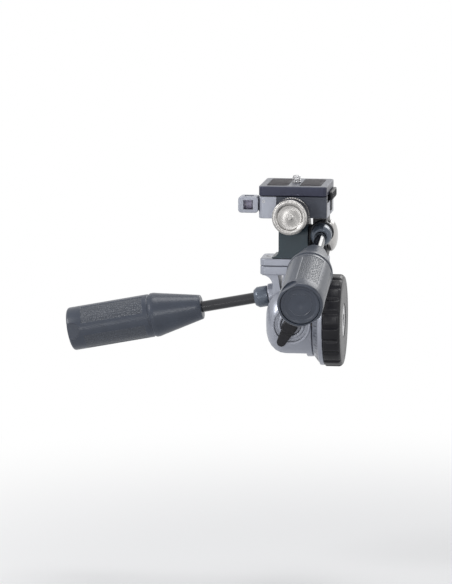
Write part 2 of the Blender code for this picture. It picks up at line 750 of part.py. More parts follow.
def build_pan_housing():
    fillet = (BARREL_END_X + BARREL_FILLET, BARREL_RADIUS - BARREL_FILLET)
    profile = [(BARREL_END_X, 0)]
    profile += arc(fillet, BARREL_FILLET, 180, 90, CURVE_STEPS)
    profile += [
        (BARREL_FACE_X - RUN_GAP, BARREL_RADIUS),
        (BARREL_FACE_X, BARREL_RADIUS - RUN_GAP),
        (BARREL_FACE_X, STUB_RADIUS),
        (STUB_FACE_X, STUB_RADIUS),
        (STUB_FACE_X, 0),
    ]
    housing = turned("pan_housing", profile, "silver_paint")
    here = (HEAD_X, 0, 0)
    for side in (-1, 1):
        join(housing, turned("boss", boss_profile(side), None, ROUND, "Y", here))
        well = hole(BOSS_WELL_RADIUS, side * BOSS_FLOOR, side * (BOSS_FACE + PAST), "Y", here, ROUND)
        cut(housing, well)
    far = BARREL_RADIUS + PAST
    slot = block((BARREL_END_X - PAST, -SLOT_HALF, -far), (SLOT_FLOOR_X, SLOT_HALF, far))
    nut_room = hole(PAN_NUT_RADIUS + RUN_GAP, HEAD_X, PAN_NUT_RIGHT_X + SEAT_GAP, "X", (0, 0, 0), MEDIUM)
    bore = hole(BUSH_RADIUS + SEAT_GAP, HEAD_X, 0, "X", (0, 0, 0), MEDIUM)
    axle = hole(TILT_AXLE_RADIUS + SEAT_GAP, -TILT_AXLE_REACH - SEAT_GAP, BOSS_FACE + PAST, "Y", here)
    stud = hole(LOCK_STUD_RADIUS + SEAT_GAP, -BOSS_FACE - PAST, -LOCK_STUD_TIP + SEAT_GAP, "Y", here)
    pin = hole(BRAKE_PIN_RADIUS + SEAT_GAP, HEAD_X, 0, "X", (0, -BRAKE_PIN_REACH, 0), TINY)
    return cut(housing, slot, nut_room, bore, axle, stud, pin)


def build_brake_pin():
    left = HEAD_X + LOCK_STUD_RADIUS + SEAT_GAP
    right = SCALE_FRONT_X - SEAT_GAP
    shoulder = left + BRAKE_PIN_RADIUS
    profile = [(left, 0), (shoulder, BRAKE_PIN_RADIUS), (right, BRAKE_PIN_RADIUS), (right, 0)]
    return turned("pan_brake_pin", profile, "brass", TINY, "X", (0, -BRAKE_PIN_REACH, 0))


def build_tilt_axle():
    start, end = -TILT_AXLE_REACH, BOSS_FLOOR - SEAT_GAP
    profile = [
        (start, 0),
        (start, TILT_AXLE_RADIUS - RUN_GAP),
        (start + RUN_GAP, TILT_AXLE_RADIUS),
        (end, TILT_AXLE_RADIUS),
        (end, 0),
    ]
    return turned("tilt_axle", profile, "steel", SMALL, "Y", (HEAD_X, 0, 0))


def build_axle_cover():
    """The round cover over the axle's end on the back of the housing."""
    radius = BOSS_WELL_RADIUS - SEAT_GAP
    profile = [
        (BOSS_FLOOR + SEAT_GAP, 0),
        (BOSS_FLOOR + SEAT_GAP, radius),
        (BOSS_FACE - RUN_GAP, radius),
        (BOSS_FACE, radius - RUN_GAP),
        (BOSS_FACE, radius * COVER_DISH),
        (BOSS_FACE - RUN_GAP, radius * COVER_DISH - RUN_GAP),
        (BOSS_FACE - RUN_GAP, 0),
    ]
    return turned("axle_cover", profile, "black_plastic", MEDIUM, "Y", (HEAD_X, 0, 0))


def build_lock_collar():
    """The stepped ring that the pan lock knob turns in."""
    profile = [
        (-BOSS_FLOOR - SEAT_GAP, COLLAR_BORE),
        (-BOSS_FLOOR - SEAT_GAP, COLLAR_RADIUS),
        (-COLLAR_FACE + RUN_GAP, COLLAR_RADIUS),
        (-COLLAR_FACE, COLLAR_RADIUS - RUN_GAP),
        (-COLLAR_FACE, COLLAR_BORE + RUN_GAP),
        (-COLLAR_FACE + RUN_GAP, COLLAR_BORE),
    ]
    return turned("pan_lock_collar", profile, "silver_paint", MEDIUM, "Y", (HEAD_X, 0, 0))


def wing_outline():
    """Outline of the lock's wing: a round root that narrows to a round tip."""
    reach = LOCK_WING_REACH - LOCK_WING_TIP
    edge = math.degrees(math.acos((LOCK_WING_ROOT - LOCK_WING_TIP) / reach))
    points = arc((0, 0), LOCK_WING_ROOT, edge, 360 - edge, CURVE_STEPS)
    points += arc((reach, 0), LOCK_WING_TIP, -edge, edge, CURVE_STEPS)
    turn = Matrix.Rotation(LOCK_WING_ANGLE, 2)
    return [(HEAD_X + p[0], p[1]) for p in [turn @ Vector(point) for point in points]]


def build_lock_knob():
    face = -LOCK_START - LOCK_BARREL_LENGTH
    profile = [
        (-LOCK_START, 0),
        (-LOCK_START, LOCK_BARREL_RADIUS),
        (face + LOCK_BARREL_ROUND, LOCK_BARREL_RADIUS),
        (face + LOCK_BARREL_ROUND / 3, LOCK_BARREL_RADIUS - LOCK_BARREL_ROUND / 3),
        (face, LOCK_BARREL_RADIUS - LOCK_BARREL_ROUND),
        (face, 0),
    ]
    here = (HEAD_X, 0, 0)
    knob = turned("pan_lock_knob", profile, "black_plastic", MEDIUM, "Y", here)
    back = -LOCK_START - LOCK_WING_SET
    wing = ease(pushed("wing", wing_outline(), back - LOCK_WING_THICKNESS, back), BAND_EASE)
    join(knob, wing)
    bore = hole(LOCK_STUD_RADIUS + SEAT_GAP, -LOCK_START - LOCK_STUD_GRIP - SEAT_GAP, 0, "Y", here)
    return cut(knob, bore)


def build_lock_stud():
    tip = -LOCK_STUD_TIP
    profile = [
        (tip, 0),
        (tip - LOCK_STUD_RADIUS, LOCK_STUD_RADIUS),
        (-LOCK_START - LOCK_STUD_GRIP, LOCK_STUD_RADIUS),
        (-LOCK_START - LOCK_STUD_GRIP, 0),
    ]
    return turned("pan_lock_stud", profile, "steel", SMALL, "Y", (HEAD_X, 0, 0))


def arm_outline():
    """Front outline of the arm: hub, straight sides, then a flare up to the bridge."""
    right = TONGUE_HUB_RADIUS
    flare_z = BRIDGE_BOTTOM - ARM_FLARE
    inside_z = BRIDGE_BOTTOM + BAND_EASE
    points = arc((0, 0), TONGUE_HUB_RADIUS, HUB_START, 360, CURVE_STEPS)
    points += arc((right + ARM_FLARE, flare_z), ARM_FLARE, 180, 90, CURVE_STEPS)
    points += [(right + ARM_FLARE, inside_z), (-ARM_LEFT - ARM_FLARE + RUN_GAP, inside_z)]
    points += arc((-ARM_LEFT - ARM_FLARE + RUN_GAP, flare_z), ARM_FLARE - RUN_GAP, 90, 0, CURVE_STEPS)
    points.append((-ARM_LEFT, ARM_HEEL))
    return [(HEAD_X + x, z) for x, z in points]


def slit_outline():
    """The clamp slit: wide below the bridge, narrow where it meets the axle's bore."""
    top = BRIDGE_BOTTOM - RUN_GAP
    waist = BRIDGE_BOTTOM - ARM_FLARE
    half, foot = SLIT_TOP_WIDTH / 2, SLIT_FOOT_WIDTH / 2
    points = [
        (SLIT_TOP_X - half, top),
        (SLIT_TOP_X - foot, waist),
        (SLIT_FOOT_X - foot, SLIT_FOOT_Z),
        (SLIT_FOOT_X + foot, SLIT_FOOT_Z),
        (SLIT_TOP_X + foot, waist),
        (SLIT_TOP_X + half, top),
    ]
    return [(HEAD_X + x, z) for x, z in points]


def band_outline():
    """Outline of both bands from above."""
    return rounded((HEAD_X - BRIDGE_HALF_LENGTH, -BRIDGE_HALF_DEPTH),
                   (HEAD_X + BRIDGE_HALF_LENGTH, BRIDGE_HALF_DEPTH), BRIDGE_CORNER)


def band_screw_places():
    return [(HEAD_X + side * BAND_SCREW_SPREAD, 0, BAND_TOP) for side in (-1, 1)]


def band_screw_sizes():
    return BAND_SCREW_LENGTH, BAND_SCREW_RADIUS, BAND_SCREW_HEAD, BAND_SCREW_HEAD_DEPTH


def handle_boss():
    """The round boss that a handle's ferrule meets, drawn along Z."""
    profile = [
        (-HANDLE_BOSS_DEPTH, 0),
        (-HANDLE_BOSS_DEPTH, HANDLE_BOSS_RADIUS),
        (-RUN_GAP, HANDLE_BOSS_RADIUS),
        (0, HANDLE_BOSS_RADIUS - RUN_GAP),
        (0, 0),
    ]
    return turned("boss", profile, None, MEDIUM, "Z")


def build_tilt_arm():
    arm = pushed("tilt_arm", arm_outline(), -TONGUE_HALF, TONGUE_HALF, "silver_paint")
    ease(arm, BAND_EASE)
    bridge = ease(pushed("bridge", band_outline(), BRIDGE_BOTTOM, BRIDGE_TOP, None, "Z"), BAND_EASE)
    join(arm, bridge, aimed(handle_boss(), TILT_HANDLE_ROOT, TILT_HANDLE_OUT))
    axle = hole(TILT_AXLE_RADIUS + SEAT_GAP, -SLOT_HALF, SLOT_HALF, "Y", (HEAD_X, 0, 0))
    slit = pushed("slit", slit_outline(), -SLOT_HALF, SLOT_HALF)
    bore = hole(TILT_SCREW_RADIUS + SEAT_GAP, -TILT_SCREW_LENGTH - SEAT_GAP, PAST, "Z", (0, 0, 0))
    cut(arm, axle, slit, aimed(bore, TILT_HANDLE_ROOT, TILT_HANDLE_OUT))
    for place in band_screw_places():
        cut(arm, screw_room(place, *band_screw_sizes()))
    return arm


def neck_screw_places():
    """The neck's two screws come up from the underside of its flange."""
    return [(HEAD_X, side * NECK_SCREW_SPREAD, BAND_BOTTOM + SEAT_GAP) for side in (-1, 1)]


def neck_screw_sizes():
    return -NECK_SCREW_LENGTH, NECK_SCREW_RADIUS, NECK_SCREW_HEAD, NECK_SCREW_HEAD_DEPTH


def build_neck_flange():
    flange = pushed("neck_flange", band_outline(), BAND_BOTTOM, BAND_TOP, "silver_paint", "Z")
    ease(flange, BAND_EASE)
    for place in band_screw_places():
        cut(flange, screw_room(place, *band_screw_sizes()))
    for place in neck_screw_places():
        cut(flange, screw_room(place, *neck_screw_sizes()))
    return flange


def neck_front_outline():
    """Front outline of the neck: a post on a flared foot."""
    side, flare = NECK_HALF_LENGTH, NECK_FLARE
    flare_z = NECK_BOTTOM + NECK_LIP + flare
    top = FLIP_Z + NECK_HALF_DEPTH + PAST
    points = [(-side - flare, NECK_BOTTOM), (side + flare, NECK_BOTTOM)]
    points += arc((side + flare, flare_z), flare, 270, 180, CURVE_STEPS)
    points += [(side, top), (-side, top)]
    points += arc((-side - flare, flare_z), flare, 0, -90, CURVE_STEPS)
    return [(HEAD_X + x, z) for x, z in points]


def build_neck():
    far = NECK_HALF_DEPTH + PAST
    neck = pushed("neck", neck_front_outline(), -far, far, "teal_casting")
    side_view = [(-NECK_HALF_DEPTH, NECK_BOTTOM - PAST), (NECK_HALF_DEPTH, NECK_BOTTOM - PAST)]
    side_view += arc((0, FLIP_Z), NECK_HALF_DEPTH, 0, 180, NECK_STEPS)
    reach = NECK_HALF_LENGTH + NECK_FLARE + PAST
    combine(neck, pushed("side", side_view, HEAD_X - reach, HEAD_X + reach, None, "X"), "INTERSECT")
    bore_start = NECK_RIGHT_X - FLIP_AXLE_DEPTH - SEAT_GAP
    cut(neck, hole(FLIP_AXLE_RADIUS + SEAT_GAP, bore_start, HEAD_X + reach, "X", (0, 0, FLIP_Z)))
    for place in neck_screw_places():
        cut(neck, screw_room(place, *neck_screw_sizes()))
    return neck


def build_tilt_washer(name, side):
    """A thrust washer between the arm and one cheek of the housing."""
    near = side * (TONGUE_HALF + SEAT_GAP)
    far = near + side * THRUST_WASHER_THICKNESS
    profile = ring_profile(near, far, TILT_AXLE_RADIUS + SEAT_GAP, THRUST_WASHER_RADIUS)
    return turned(name, profile, "nylon", MEDIUM, "Y", (HEAD_X, 0, 0))


def build_flip_axle():
    left, right = NECK_RIGHT_X - FLIP_AXLE_DEPTH, DOME_LEFT_X + DOME_BORE_DEPTH
    profile = [(left, 0), (left, FLIP_AXLE_RADIUS), (right, FLIP_AXLE_RADIUS), (right, 0)]
    return turned("flip_axle", profile, "steel", SMALL, "X", (0, 0, FLIP_Z))


def build_flip_washer():
    profile = ring_profile(FLIP_WASHER_X, FLIP_WASHER_X + FLIP_WASHER_THICKNESS,
                           FLIP_AXLE_RADIUS + SEAT_GAP, FLIP_WASHER_RADIUS)
    return turned("flip_washer", profile, "nylon", MEDIUM, "X", (0, 0, FLIP_Z))


def build_flip_cap():
    """The domed nut on the outer end of the side tilt axle."""
    profile = [
        (DOME_LEFT_X, 0),
        (DOME_LEFT_X, DOME_RADIUS - SEAT_GAP),
        (DOME_LEFT_X + SEAT_GAP, DOME_RADIUS),
    ]
    for step in range(DOME_STEPS + 1):
        turn = math.pi / 2 * step / DOME_STEPS
        rise = DOME_RIM + (DOME_HEIGHT - DOME_RIM) * math.sin(turn)
        radius = DOME_RADIUS * math.cos(turn) if step < DOME_STEPS else 0
        profile.append((DOME_LEFT_X + rise, radius))
    cap = turned("flip_cap", profile, "turned_aluminium", MEDIUM, "X", (0, 0, FLIP_Z))
    bore = hole(FLIP_AXLE_RADIUS + SEAT_GAP, DOME_LEFT_X - PAST, DOME_LEFT_X + DOME_BORE_DEPTH + SEAT_GAP,
                "X", (0, 0, FLIP_Z))
    return cut(cap, bore)


def platform_screw_places():
    top = CHANNEL_FLOOR - SEAT_GAP
    return [(PLATFORM_SCREW_X, side * PLATFORM_SCREW_SPREAD, top) for side in (-1, 1)]


def platform_screw_sizes():
    return PLATFORM_SCREW_LENGTH, PLATFORM_SCREW_RADIUS, PLATFORM_SCREW_HEAD, PLATFORM_SCREW_HEAD_DEPTH


def build_flip_bracket():
    """The black bracket: hub, cone and flange about the axle, and the block under the clamp."""
    flange_x = BRACKET_RIGHT_X - FLIP_FLANGE_THICKNESS
    profile = [
        (BRACKET_LEFT_X, 0),
        (BRACKET_LEFT_X, FLIP_HUB_RADIUS),
        (BLOCK_LEFT_X, FLIP_HUB_RADIUS),
        (flange_x, FLIP_FLANGE_RADIUS),
        (BRACKET_RIGHT_X - SEAT_GAP, FLIP_FLANGE_RADIUS),
        (BRACKET_RIGHT_X, FLIP_FLANGE_RADIUS - SEAT_GAP),
        (BRACKET_RIGHT_X, 0),
    ]
    bracket = turned("flip_bracket", profile, "black_casting", ROUND, "X", (0, 0, FLIP_Z))
    side, top = FLIP_BLOCK_HALF_DEPTH, PLATFORM_BOTTOM - SEAT_GAP
    join(bracket, block((BLOCK_LEFT_X, -side, FLIP_Z), (BRACKET_RIGHT_X - SEAT_GAP, side, top + PAST)))
    join(bracket, aimed(handle_boss(), FLIP_HANDLE_ROOT, FLIP_HANDLE_OUT))
    above = block((BRACKET_LEFT_X - PAST, -2 * side, top), (0, 2 * side, top + side))
    dome_room = hole(DOME_RADIUS + RUN_GAP, BRACKET_RIGHT_X, 0, "X", (0, 0, FLIP_Z), ROUND)
    behind_boss = block((BRACKET_RIGHT_X, -side, FLIP_Z - side), (0, side, PLATFORM_BOTTOM + PAST))
    axle = hole(FLIP_AXLE_RADIUS + RUN_GAP, BRACKET_LEFT_X - PAST, 0, "X", (0, 0, FLIP_Z))
    screw = hole(FLIP_SCREW_RADIUS + SEAT_GAP, -FLIP_SCREW_LENGTH - SEAT_GAP, PAST, "Z", (0, 0, 0))
    spot_face = hole(HANDLE_BOSS_RADIUS, 0, FERRULE_LENGTH, "Z", (0, 0, 0), MEDIUM)
    cut(bracket, above, dome_room, behind_boss, axle, aimed(screw, FLIP_HANDLE_ROOT, FLIP_HANDLE_OUT))
    cut(bracket, aimed(spot_face, FLIP_HANDLE_ROOT, FLIP_HANDLE_OUT))
    for place in platform_screw_places():
        cut(bracket, screw_room(place, *platform_screw_sizes()))
    return bracket


def channel_outline():
    """Side view of the dovetail channel, with the clamp's jaw out of the way."""
    high = PLATFORM_TOP + PAST
    slope = CHANNEL_FLANK / CHANNEL_DEPTH
    return [
        (JAW_SEAT_Y, high),
        (JAW_SEAT_Y, CHANNEL_FLOOR),
        (CHANNEL_BASE, CHANNEL_FLOOR),
        (CHANNEL_MOUTH - PAST * slope, high),
    ]


def pocket_cutters():
    """Two hollows under the platform, with a rib between them."""
    left = PLATFORM_LEFT + POCKET_WALL
    right = BLOCK_LEFT_X - POCKET_WALL
    middle = (left + right) / 2
    for low, high in ((left, middle - POCKET_WALL / 2), (middle + POCKET_WALL / 2, right)):
        yield block((low, POCKET_FRONT, PLATFORM_BOTTOM - PAST),
                    (high, POCKET_BACK, PLATFORM_BOTTOM + POCKET_DEPTH))


def jaw_pin_places():
    height = CLAMP_KNOB_Z + JAW_PIN_RISE
    return [(JAW_X + side * JAW_PIN_SPREAD, 0, height) for side in (-1, 1)]


def latch_groove_cutters():
    """The T shaped groove in the platform's right side that guides the latch."""
    low, high = PLATFORM_BOTTOM - PAST, PLATFORM_TOP + PAST
    neck, head = LATCH_STEM_NECK + SEAT_GAP, LATCH_STEM_HEAD + SEAT_GAP
    face = PLATFORM_RIGHT - LATCH_SKIN
    yield block((face - SEAT_GAP, LATCH_CENTRE_Y - neck, low),
                (PLATFORM_RIGHT + PAST, LATCH_CENTRE_Y + neck, high))
    yield block((PLATFORM_RIGHT - LATCH_STEM_DEPTH - SEAT_GAP, LATCH_CENTRE_Y - head, low),
                (face, LATCH_CENTRE_Y + head, high))


def build_platform():
    outline = rounded((PLATFORM_LEFT, -PLATFORM_HALF_DEPTH), (PLATFORM_RIGHT, PLATFORM_HALF_DEPTH),
                      PLATFORM_CORNER)
    platform = pushed("clamp_platform", outline, PLATFORM_BOTTOM, PLATFORM_TOP, "silver_paint", "Z")
    ease(platform, PLATFORM_EASE)
    far = PLATFORM_HALF_LENGTH + PAST
    channel = pushed("channel", channel_outline(), PLATFORM_X - far, PLATFORM_X + far, None, "X")
    jaw_room = block((JAW_LEFT - SEAT_GAP, -PLATFORM_HALF_DEPTH - PAST, PLATFORM_BOTTOM - PAST),
                     (PLATFORM_RIGHT + PAST, JAW_SEAT_Y, PLATFORM_TOP + PAST))
    cut(platform, channel, jaw_room, *pocket_cutters(), *latch_groove_cutters())
    stud = hole(CLAMP_STUD_RADIUS + SEAT_GAP, -PLATFORM_HALF_DEPTH, -CLAMP_STUD_END + SEAT_GAP, "Y",
                (PLATFORM_X, 0, CLAMP_KNOB_Z))
    cut(platform, stud)
    for place in jaw_pin_places():
        end = -PLATFORM_HALF_DEPTH + JAW_THICKNESS / 2 + JAW_PIN_LENGTH + SEAT_GAP
        cut(platform, hole(JAW_PIN_RADIUS + SEAT_GAP, -PLATFORM_HALF_DEPTH, end, "Y", place, TINY))
    for place in platform_screw_places():
        cut(platform, screw_room(place, *platform_screw_sizes()))
    return platform


def build_jaw():
    lip_z = DOVETAIL_BOTTOM
    outline = [
        (-PLATFORM_HALF_DEPTH, PLATFORM_BOTTOM + JAW_LIFT),
        (JAW_BACK_Y, PLATFORM_BOTTOM + JAW_LIFT),
        (JAW_BACK_Y, lip_z),
        (-CHANNEL_BASE, lip_z),
        (-CHANNEL_MOUTH, PLATFORM_TOP),
        (-PLATFORM_HALF_DEPTH, PLATFORM_TOP),
    ]
    jaw = pushed("clamp_jaw", outline, JAW_LEFT, PLATFORM_RIGHT, "slate_casting", "X")
    stud = hole(CLAMP_STUD_RADIUS + SEAT_GAP, -PLATFORM_HALF_DEPTH - PAST, JAW_SEAT_Y + PAST, "Y",
                (PLATFORM_X, 0, CLAMP_KNOB_Z))
    cut(jaw, stud)
    start = -PLATFORM_HALF_DEPTH + JAW_THICKNESS / 2 - SEAT_GAP
    for place in jaw_pin_places():
        cut(jaw, hole(JAW_PIN_RADIUS + SEAT_GAP, start, JAW_SEAT_Y + PAST, "Y", place, TINY))
    return jaw


def build_jaw_pin(name, place):
    """A pin that keeps the jaw square as it slides."""
    start = -PLATFORM_HALF_DEPTH + JAW_THICKNESS / 2
    end = start + JAW_PIN_LENGTH
    profile = [(start, 0), (start, JAW_PIN_RADIUS), (end, JAW_PIN_RADIUS), (end, 0)]
    return turned(name, profile, "steel", TINY, "Y", place)


def build_clamp_knob():
    edge, rim = CLAMP_KNOB_EASE, CLAMP_KNOB_RADIUS - CLAMP_KNOB_RIM
    profile = [
        (KNOB_BACK_Y, 0),
        (KNOB_BACK_Y, CLAMP_KNOB_NECK_RADIUS),
        (KNOB_SHOULDER_Y, CLAMP_KNOB_NECK_RADIUS),
        (KNOB_SHOULDER_Y, CLAMP_KNOB_RADIUS - edge),
        (KNOB_SHOULDER_Y - edge, CLAMP_KNOB_RADIUS),
        (KNOB_FACE_Y + edge, CLAMP_KNOB_RADIUS),
        (KNOB_FACE_Y + edge / 4, CLAMP_KNOB_RADIUS - edge / 4),
        (KNOB_FACE_Y, CLAMP_KNOB_RADIUS - edge),
        (KNOB_FACE_Y, rim),
        (KNOB_FACE_Y + CLAMP_KNOB_DISH, rim - edge),
        (KNOB_FACE_Y + CLAMP_KNOB_DISH, 0),
    ]
    here = (PLATFORM_X, 0, CLAMP_KNOB_Z)
    knob = turned("clamp_knob", profile, "turned_aluminium", ROUND, "Y", here)
    floor = KNOB_FACE_Y + CLAMP_KNOB_SKIN - SEAT_GAP
    return cut(knob, hole(CLAMP_STUD_RADIUS + SEAT_GAP, floor, KNOB_BACK_Y + PAST, "Y", here))


def build_clamp_stud():
    start, end = KNOB_FACE_Y + CLAMP_KNOB_SKIN, -CLAMP_STUD_END
    profile = [(start, 0), (start, CLAMP_STUD_RADIUS), (end - RUN_GAP, CLAMP_STUD_RADIUS),
               (end, CLAMP_STUD_RADIUS - RUN_GAP), (end, 0)]
    return turned("clamp_stud", profile, "steel", SMALL, "Y", (PLATFORM_X, 0, CLAMP_KNOB_Z))


def build_level_housing():
    """The little arm on the platform's left that carries the level tube."""
    low = (LEVEL_RIGHT_X - LEVEL_LENGTH, LEVEL_TOP - LEVEL_HEIGHT)
    outline = rounded(low, (LEVEL_RIGHT_X, LEVEL_TOP), LEVEL_CORNER)
    start = -PLATFORM_HALF_DEPTH
    housing = pushed("level_housing", outline, start, start + LEVEL_DEPTH, "silver_paint")
    ease(housing, PLATFORM_EASE)
    middle = (0, LEVEL_Y, LEVEL_Z)
    room_left = LEVEL_X - VIAL_LENGTH / 2 - SEAT_GAP
    room = hole(VIAL_RADIUS + SEAT_GAP, room_left, PLATFORM_LEFT + PAST, "X", middle)
    half = LEVEL_WINDOW_LENGTH / 2
    front = block((LEVEL_X - half, start - PAST, LEVEL_Z - LEVEL_WINDOW_HEIGHT / 2),
                  (LEVEL_X + half, LEVEL_Y, LEVEL_Z + LEVEL_WINDOW_HEIGHT / 2))
    top = block((LEVEL_X - half, LEVEL_Y - half, LEVEL_Z), (LEVEL_X + half, LEVEL_Y + half, LEVEL_TOP + PAST))
    return cut(housing, room, front, top)


def build_level_vial():
    left, right = LEVEL_X - VIAL_LENGTH / 2, LEVEL_X + VIAL_LENGTH / 2
    profile = [(left, 0), (left, VIAL_RADIUS - RUN_GAP), (left + RUN_GAP, VIAL_RADIUS),
               (right - RUN_GAP, VIAL_RADIUS), (right, VIAL_RADIUS - RUN_GAP), (right, 0)]
    return turned("level_vial", profile, "vial_acrylic", SMALL, "X", (0, LEVEL_Y, LEVEL_Z))


def build_safety_latch():
    """The spring bar that stops the plate sliding off, with its T shaped guide stem."""
    half = LATCH_LENGTH / 2
    outline = rounded((LATCH_CENTRE_Y - half, LATCH_BOTTOM), (LATCH_CENTRE_Y + half, LATCH_TOP), PAD_CORNER)
    outer = LATCH_LEFT_X + LATCH_THICKNESS
    latch = pushed("safety_latch", outline, LATCH_LEFT_X, outer, "black_plastic", "X")
    ease(latch, RUN_GAP)
    face = PLATFORM_RIGHT - LATCH_SKIN - SEAT_GAP
    stem_top = LATCH_BOTTOM + LATCH_LIP
    neck = block((face - SEAT_GAP, LATCH_CENTRE_Y - LATCH_STEM_NECK, LATCH_STEM_BOTTOM),
                 (LATCH_LEFT_X + RUN_GAP, LATCH_CENTRE_Y + LATCH_STEM_NECK, stem_top))
    head = block((PLATFORM_RIGHT - LATCH_STEM_DEPTH, LATCH_CENTRE_Y - LATCH_STEM_HEAD, LATCH_STEM_BOTTOM),
                 (face, LATCH_CENTRE_Y + LATCH_STEM_HEAD, CHANNEL_FLOOR - SEAT_GAP))
    return join(latch, join(head, neck))


def pad_corners():
    """Corners of the two rubber pads from above."""
    near, far = PAD_GAP / 2, PAD_GAP / 2 + PAD_LENGTH
    for low, high in ((-far, -near), (near, far)):
        yield (PLATFORM_X + low, -PAD_HALF_DEPTH), (PLATFORM_X + high, PAD_HALF_DEPTH)


def build_shoe_plate():
    outline = rounded((PLATFORM_LEFT, -PLATFORM_HALF_DEPTH), (PLATFORM_RIGHT, PLATFORM_HALF_DEPTH),
                      PLATFORM_CORNER)
    shoe = pushed("shoe_plate", outline, SHOE_BOTTOM, SHOE_TOP, "navy_anodised", "Z")
    ease(shoe, SHOE_EASE)
    inside = SHOE_BOTTOM + SHOE_EASE
    tail = [
        (-DOVETAIL_BASE_HALF, DOVETAIL_BOTTOM),
        (DOVETAIL_BASE_HALF, DOVETAIL_BOTTOM),
        (DOVETAIL_TOP_HALF, PLATFORM_TOP),
        (DOVETAIL_TOP_HALF, inside),
        (-DOVETAIL_TOP_HALF, inside),
        (-DOVETAIL_TOP_HALF, PLATFORM_TOP),
    ]
    left, right = PLATFORM_LEFT + DOVETAIL_INSET, PLATFORM_RIGHT - DOVETAIL_INSET
    join(shoe, pushed("tail", tail, left, right, None, "X"))
    here = (PLATFORM_X, 0, 0)
    room = hole(CAMERA_SCREW_HEAD + RUN_GAP, DOVETAIL_BOTTOM - PAST, SCREW_ROOM_TOP, "Z", here, MEDIUM)
    bore = hole(CAMERA_SCREW_RADIUS + SEAT_GAP, DOVETAIL_BOTTOM, SHOE_TOP + PAST, "Z", here)
    cut(shoe, room, bore)
    for low, high in pad_corners():
        outer = (high[0] + SEAT_GAP, high[1] + SEAT_GAP)
        wide = rounded((low[0] - SEAT_GAP, low[1] - SEAT_GAP), outer, PAD_CORNER)
        cut(shoe, pushed("well", wide, SHOE_TOP - PAD_SINK - SEAT_GAP, SHOE_TOP + PAST, None, "Z"))
    return shoe


def build_shoe_pad(name, corners):
    """A rubber pad, proud of the camera plate."""
    outline = rounded(corners[0], corners[1], PAD_CORNER)
    return pushed(name, outline, SHOE_TOP - PAD_SINK, SHOE_TOP + PAD_PROUD, "pad_rubber", "Z")


def build_camera_screw():
    top = SHOE_TOP + CAMERA_SCREW_PROUD
    profile = [
        (SCREW_HEAD_BOTTOM, 0),
        (SCREW_HEAD_BOTTOM, CAMERA_SCREW_HEAD - RUN_GAP),
        (SCREW_HEAD_BOTTOM + RUN_GAP, CAMERA_SCREW_HEAD),
        (SCREW_HEAD_TOP, CAMERA_SCREW_HEAD),
        (SCREW_HEAD_TOP, CAMERA_SCREW_NECK),
        (CAMERA_SCREW_NECK_TOP, CAMERA_SCREW_NECK),
        (CAMERA_SCREW_NECK_TOP, CAMERA_SCREW_RADIUS),
        (top - 2 * RUN_GAP, CAMERA_SCREW_RADIUS),
        (top, CAMERA_SCREW_RADIUS - 2 * RUN_GAP),
        (top, 0),
    ]
    screw = turned("camera_screw", profile, "steel", MEDIUM, "Z", (PLATFORM_X, 0, 0))
    half = CAMERA_SCREW_SLOT / 2
    slot = block((PLATFORM_X - half, -CAMERA_SCREW_HEAD - PAST, SCREW_HEAD_BOTTOM - PAST),
                 (PLATFORM_X + half, CAMERA_SCREW_HEAD + PAST, SCREW_HEAD_BOTTOM + CAMERA_SCREW_SLOT))
    return cut(screw, slot)


def build_screw_clip():
    """The washer on the screw's thin neck that keeps the screw in the plate."""
    top, bore = CLIP_BOTTOM + CLIP_THICKNESS, CAMERA_SCREW_NECK + SEAT_GAP
    profile = ring_profile(CLIP_BOTTOM, top, bore, CLIP_RADIUS)
    return turned("camera_screw_clip", profile, "steel", SMALL, "Z", (PLATFORM_X, 0, 0))


def grip_profile():
    """Profile of a grip: narrow end, cone, rounded ridge, groove, and a long cylinder."""
    start, ridge = GRIP_START, GRIP_START + GRIP_CONE_LENGTH
    slope = (GRIP_RADIUS - GRIP_NARROW_RADIUS) / GRIP_CONE_LENGTH
    bore, body = ROD_RADIUS + SEAT_GAP, GRIP_RADIUS - SEAT_GAP
    groove = ridge + GRIP_RIDGE_WIDTH
    points = [
        (start, bore),
        (start, GRIP_NARROW_RADIUS - RUN_GAP),
        (start + RUN_GAP, GRIP_NARROW_RADIUS),
        (ridge - GRIP_RIDGE_ROUND, GRIP_RADIUS - GRIP_RIDGE_ROUND * slope),
        (ridge - GRIP_RIDGE_ROUND / 3, GRIP_RADIUS - RUN_GAP / 4),
        (ridge, GRIP_RADIUS),
        (groove - RUN_GAP, GRIP_RADIUS),
        (groove, GRIP_RADIUS - GRIP_GROOVE_DEPTH),
        (groove + GRIP_GROOVE_WIDTH, GRIP_RADIUS - GRIP_GROOVE_DEPTH),
        (groove + GRIP_GROOVE_WIDTH + RUN_GAP, body),
    ]
    corner = (GRIP_END - GRIP_END_ROUND, body - GRIP_END_ROUND)
    points += reversed(arc(corner, GRIP_END_ROUND, 0, 90, 3))
    well, rod_end = CAP_RADIUS + SEAT_GAP, GRIP_START + ROD_DEPTH + SEAT_GAP
    floor = GRIP_END - CAP_SINK - CAP_THICKNESS - SEAT_GAP
    points += [(GRIP_END - SEAT_GAP, well), (floor, well), (floor, 0), (rod_end, 0), (rod_end, bore)]
    return points


def cap_profile():
    """Profile of the dished cap in a grip's outer end."""
    back, face = GRIP_END - CAP_SINK - CAP_THICKNESS, GRIP_END - CAP_SINK
    return [
        (back, 0),
        (back, CAP_RADIUS),
        (face - SEAT_GAP, CAP_RADIUS),
        (face, CAP_RADIUS - SEAT_GAP),
        (face, CAP_RADIUS - CAP_RIM),
        (face - CAP_DISH, CAP_RADIUS - CAP_RIM - CAP_DISH),
        (face - CAP_DISH, 0),
    ]


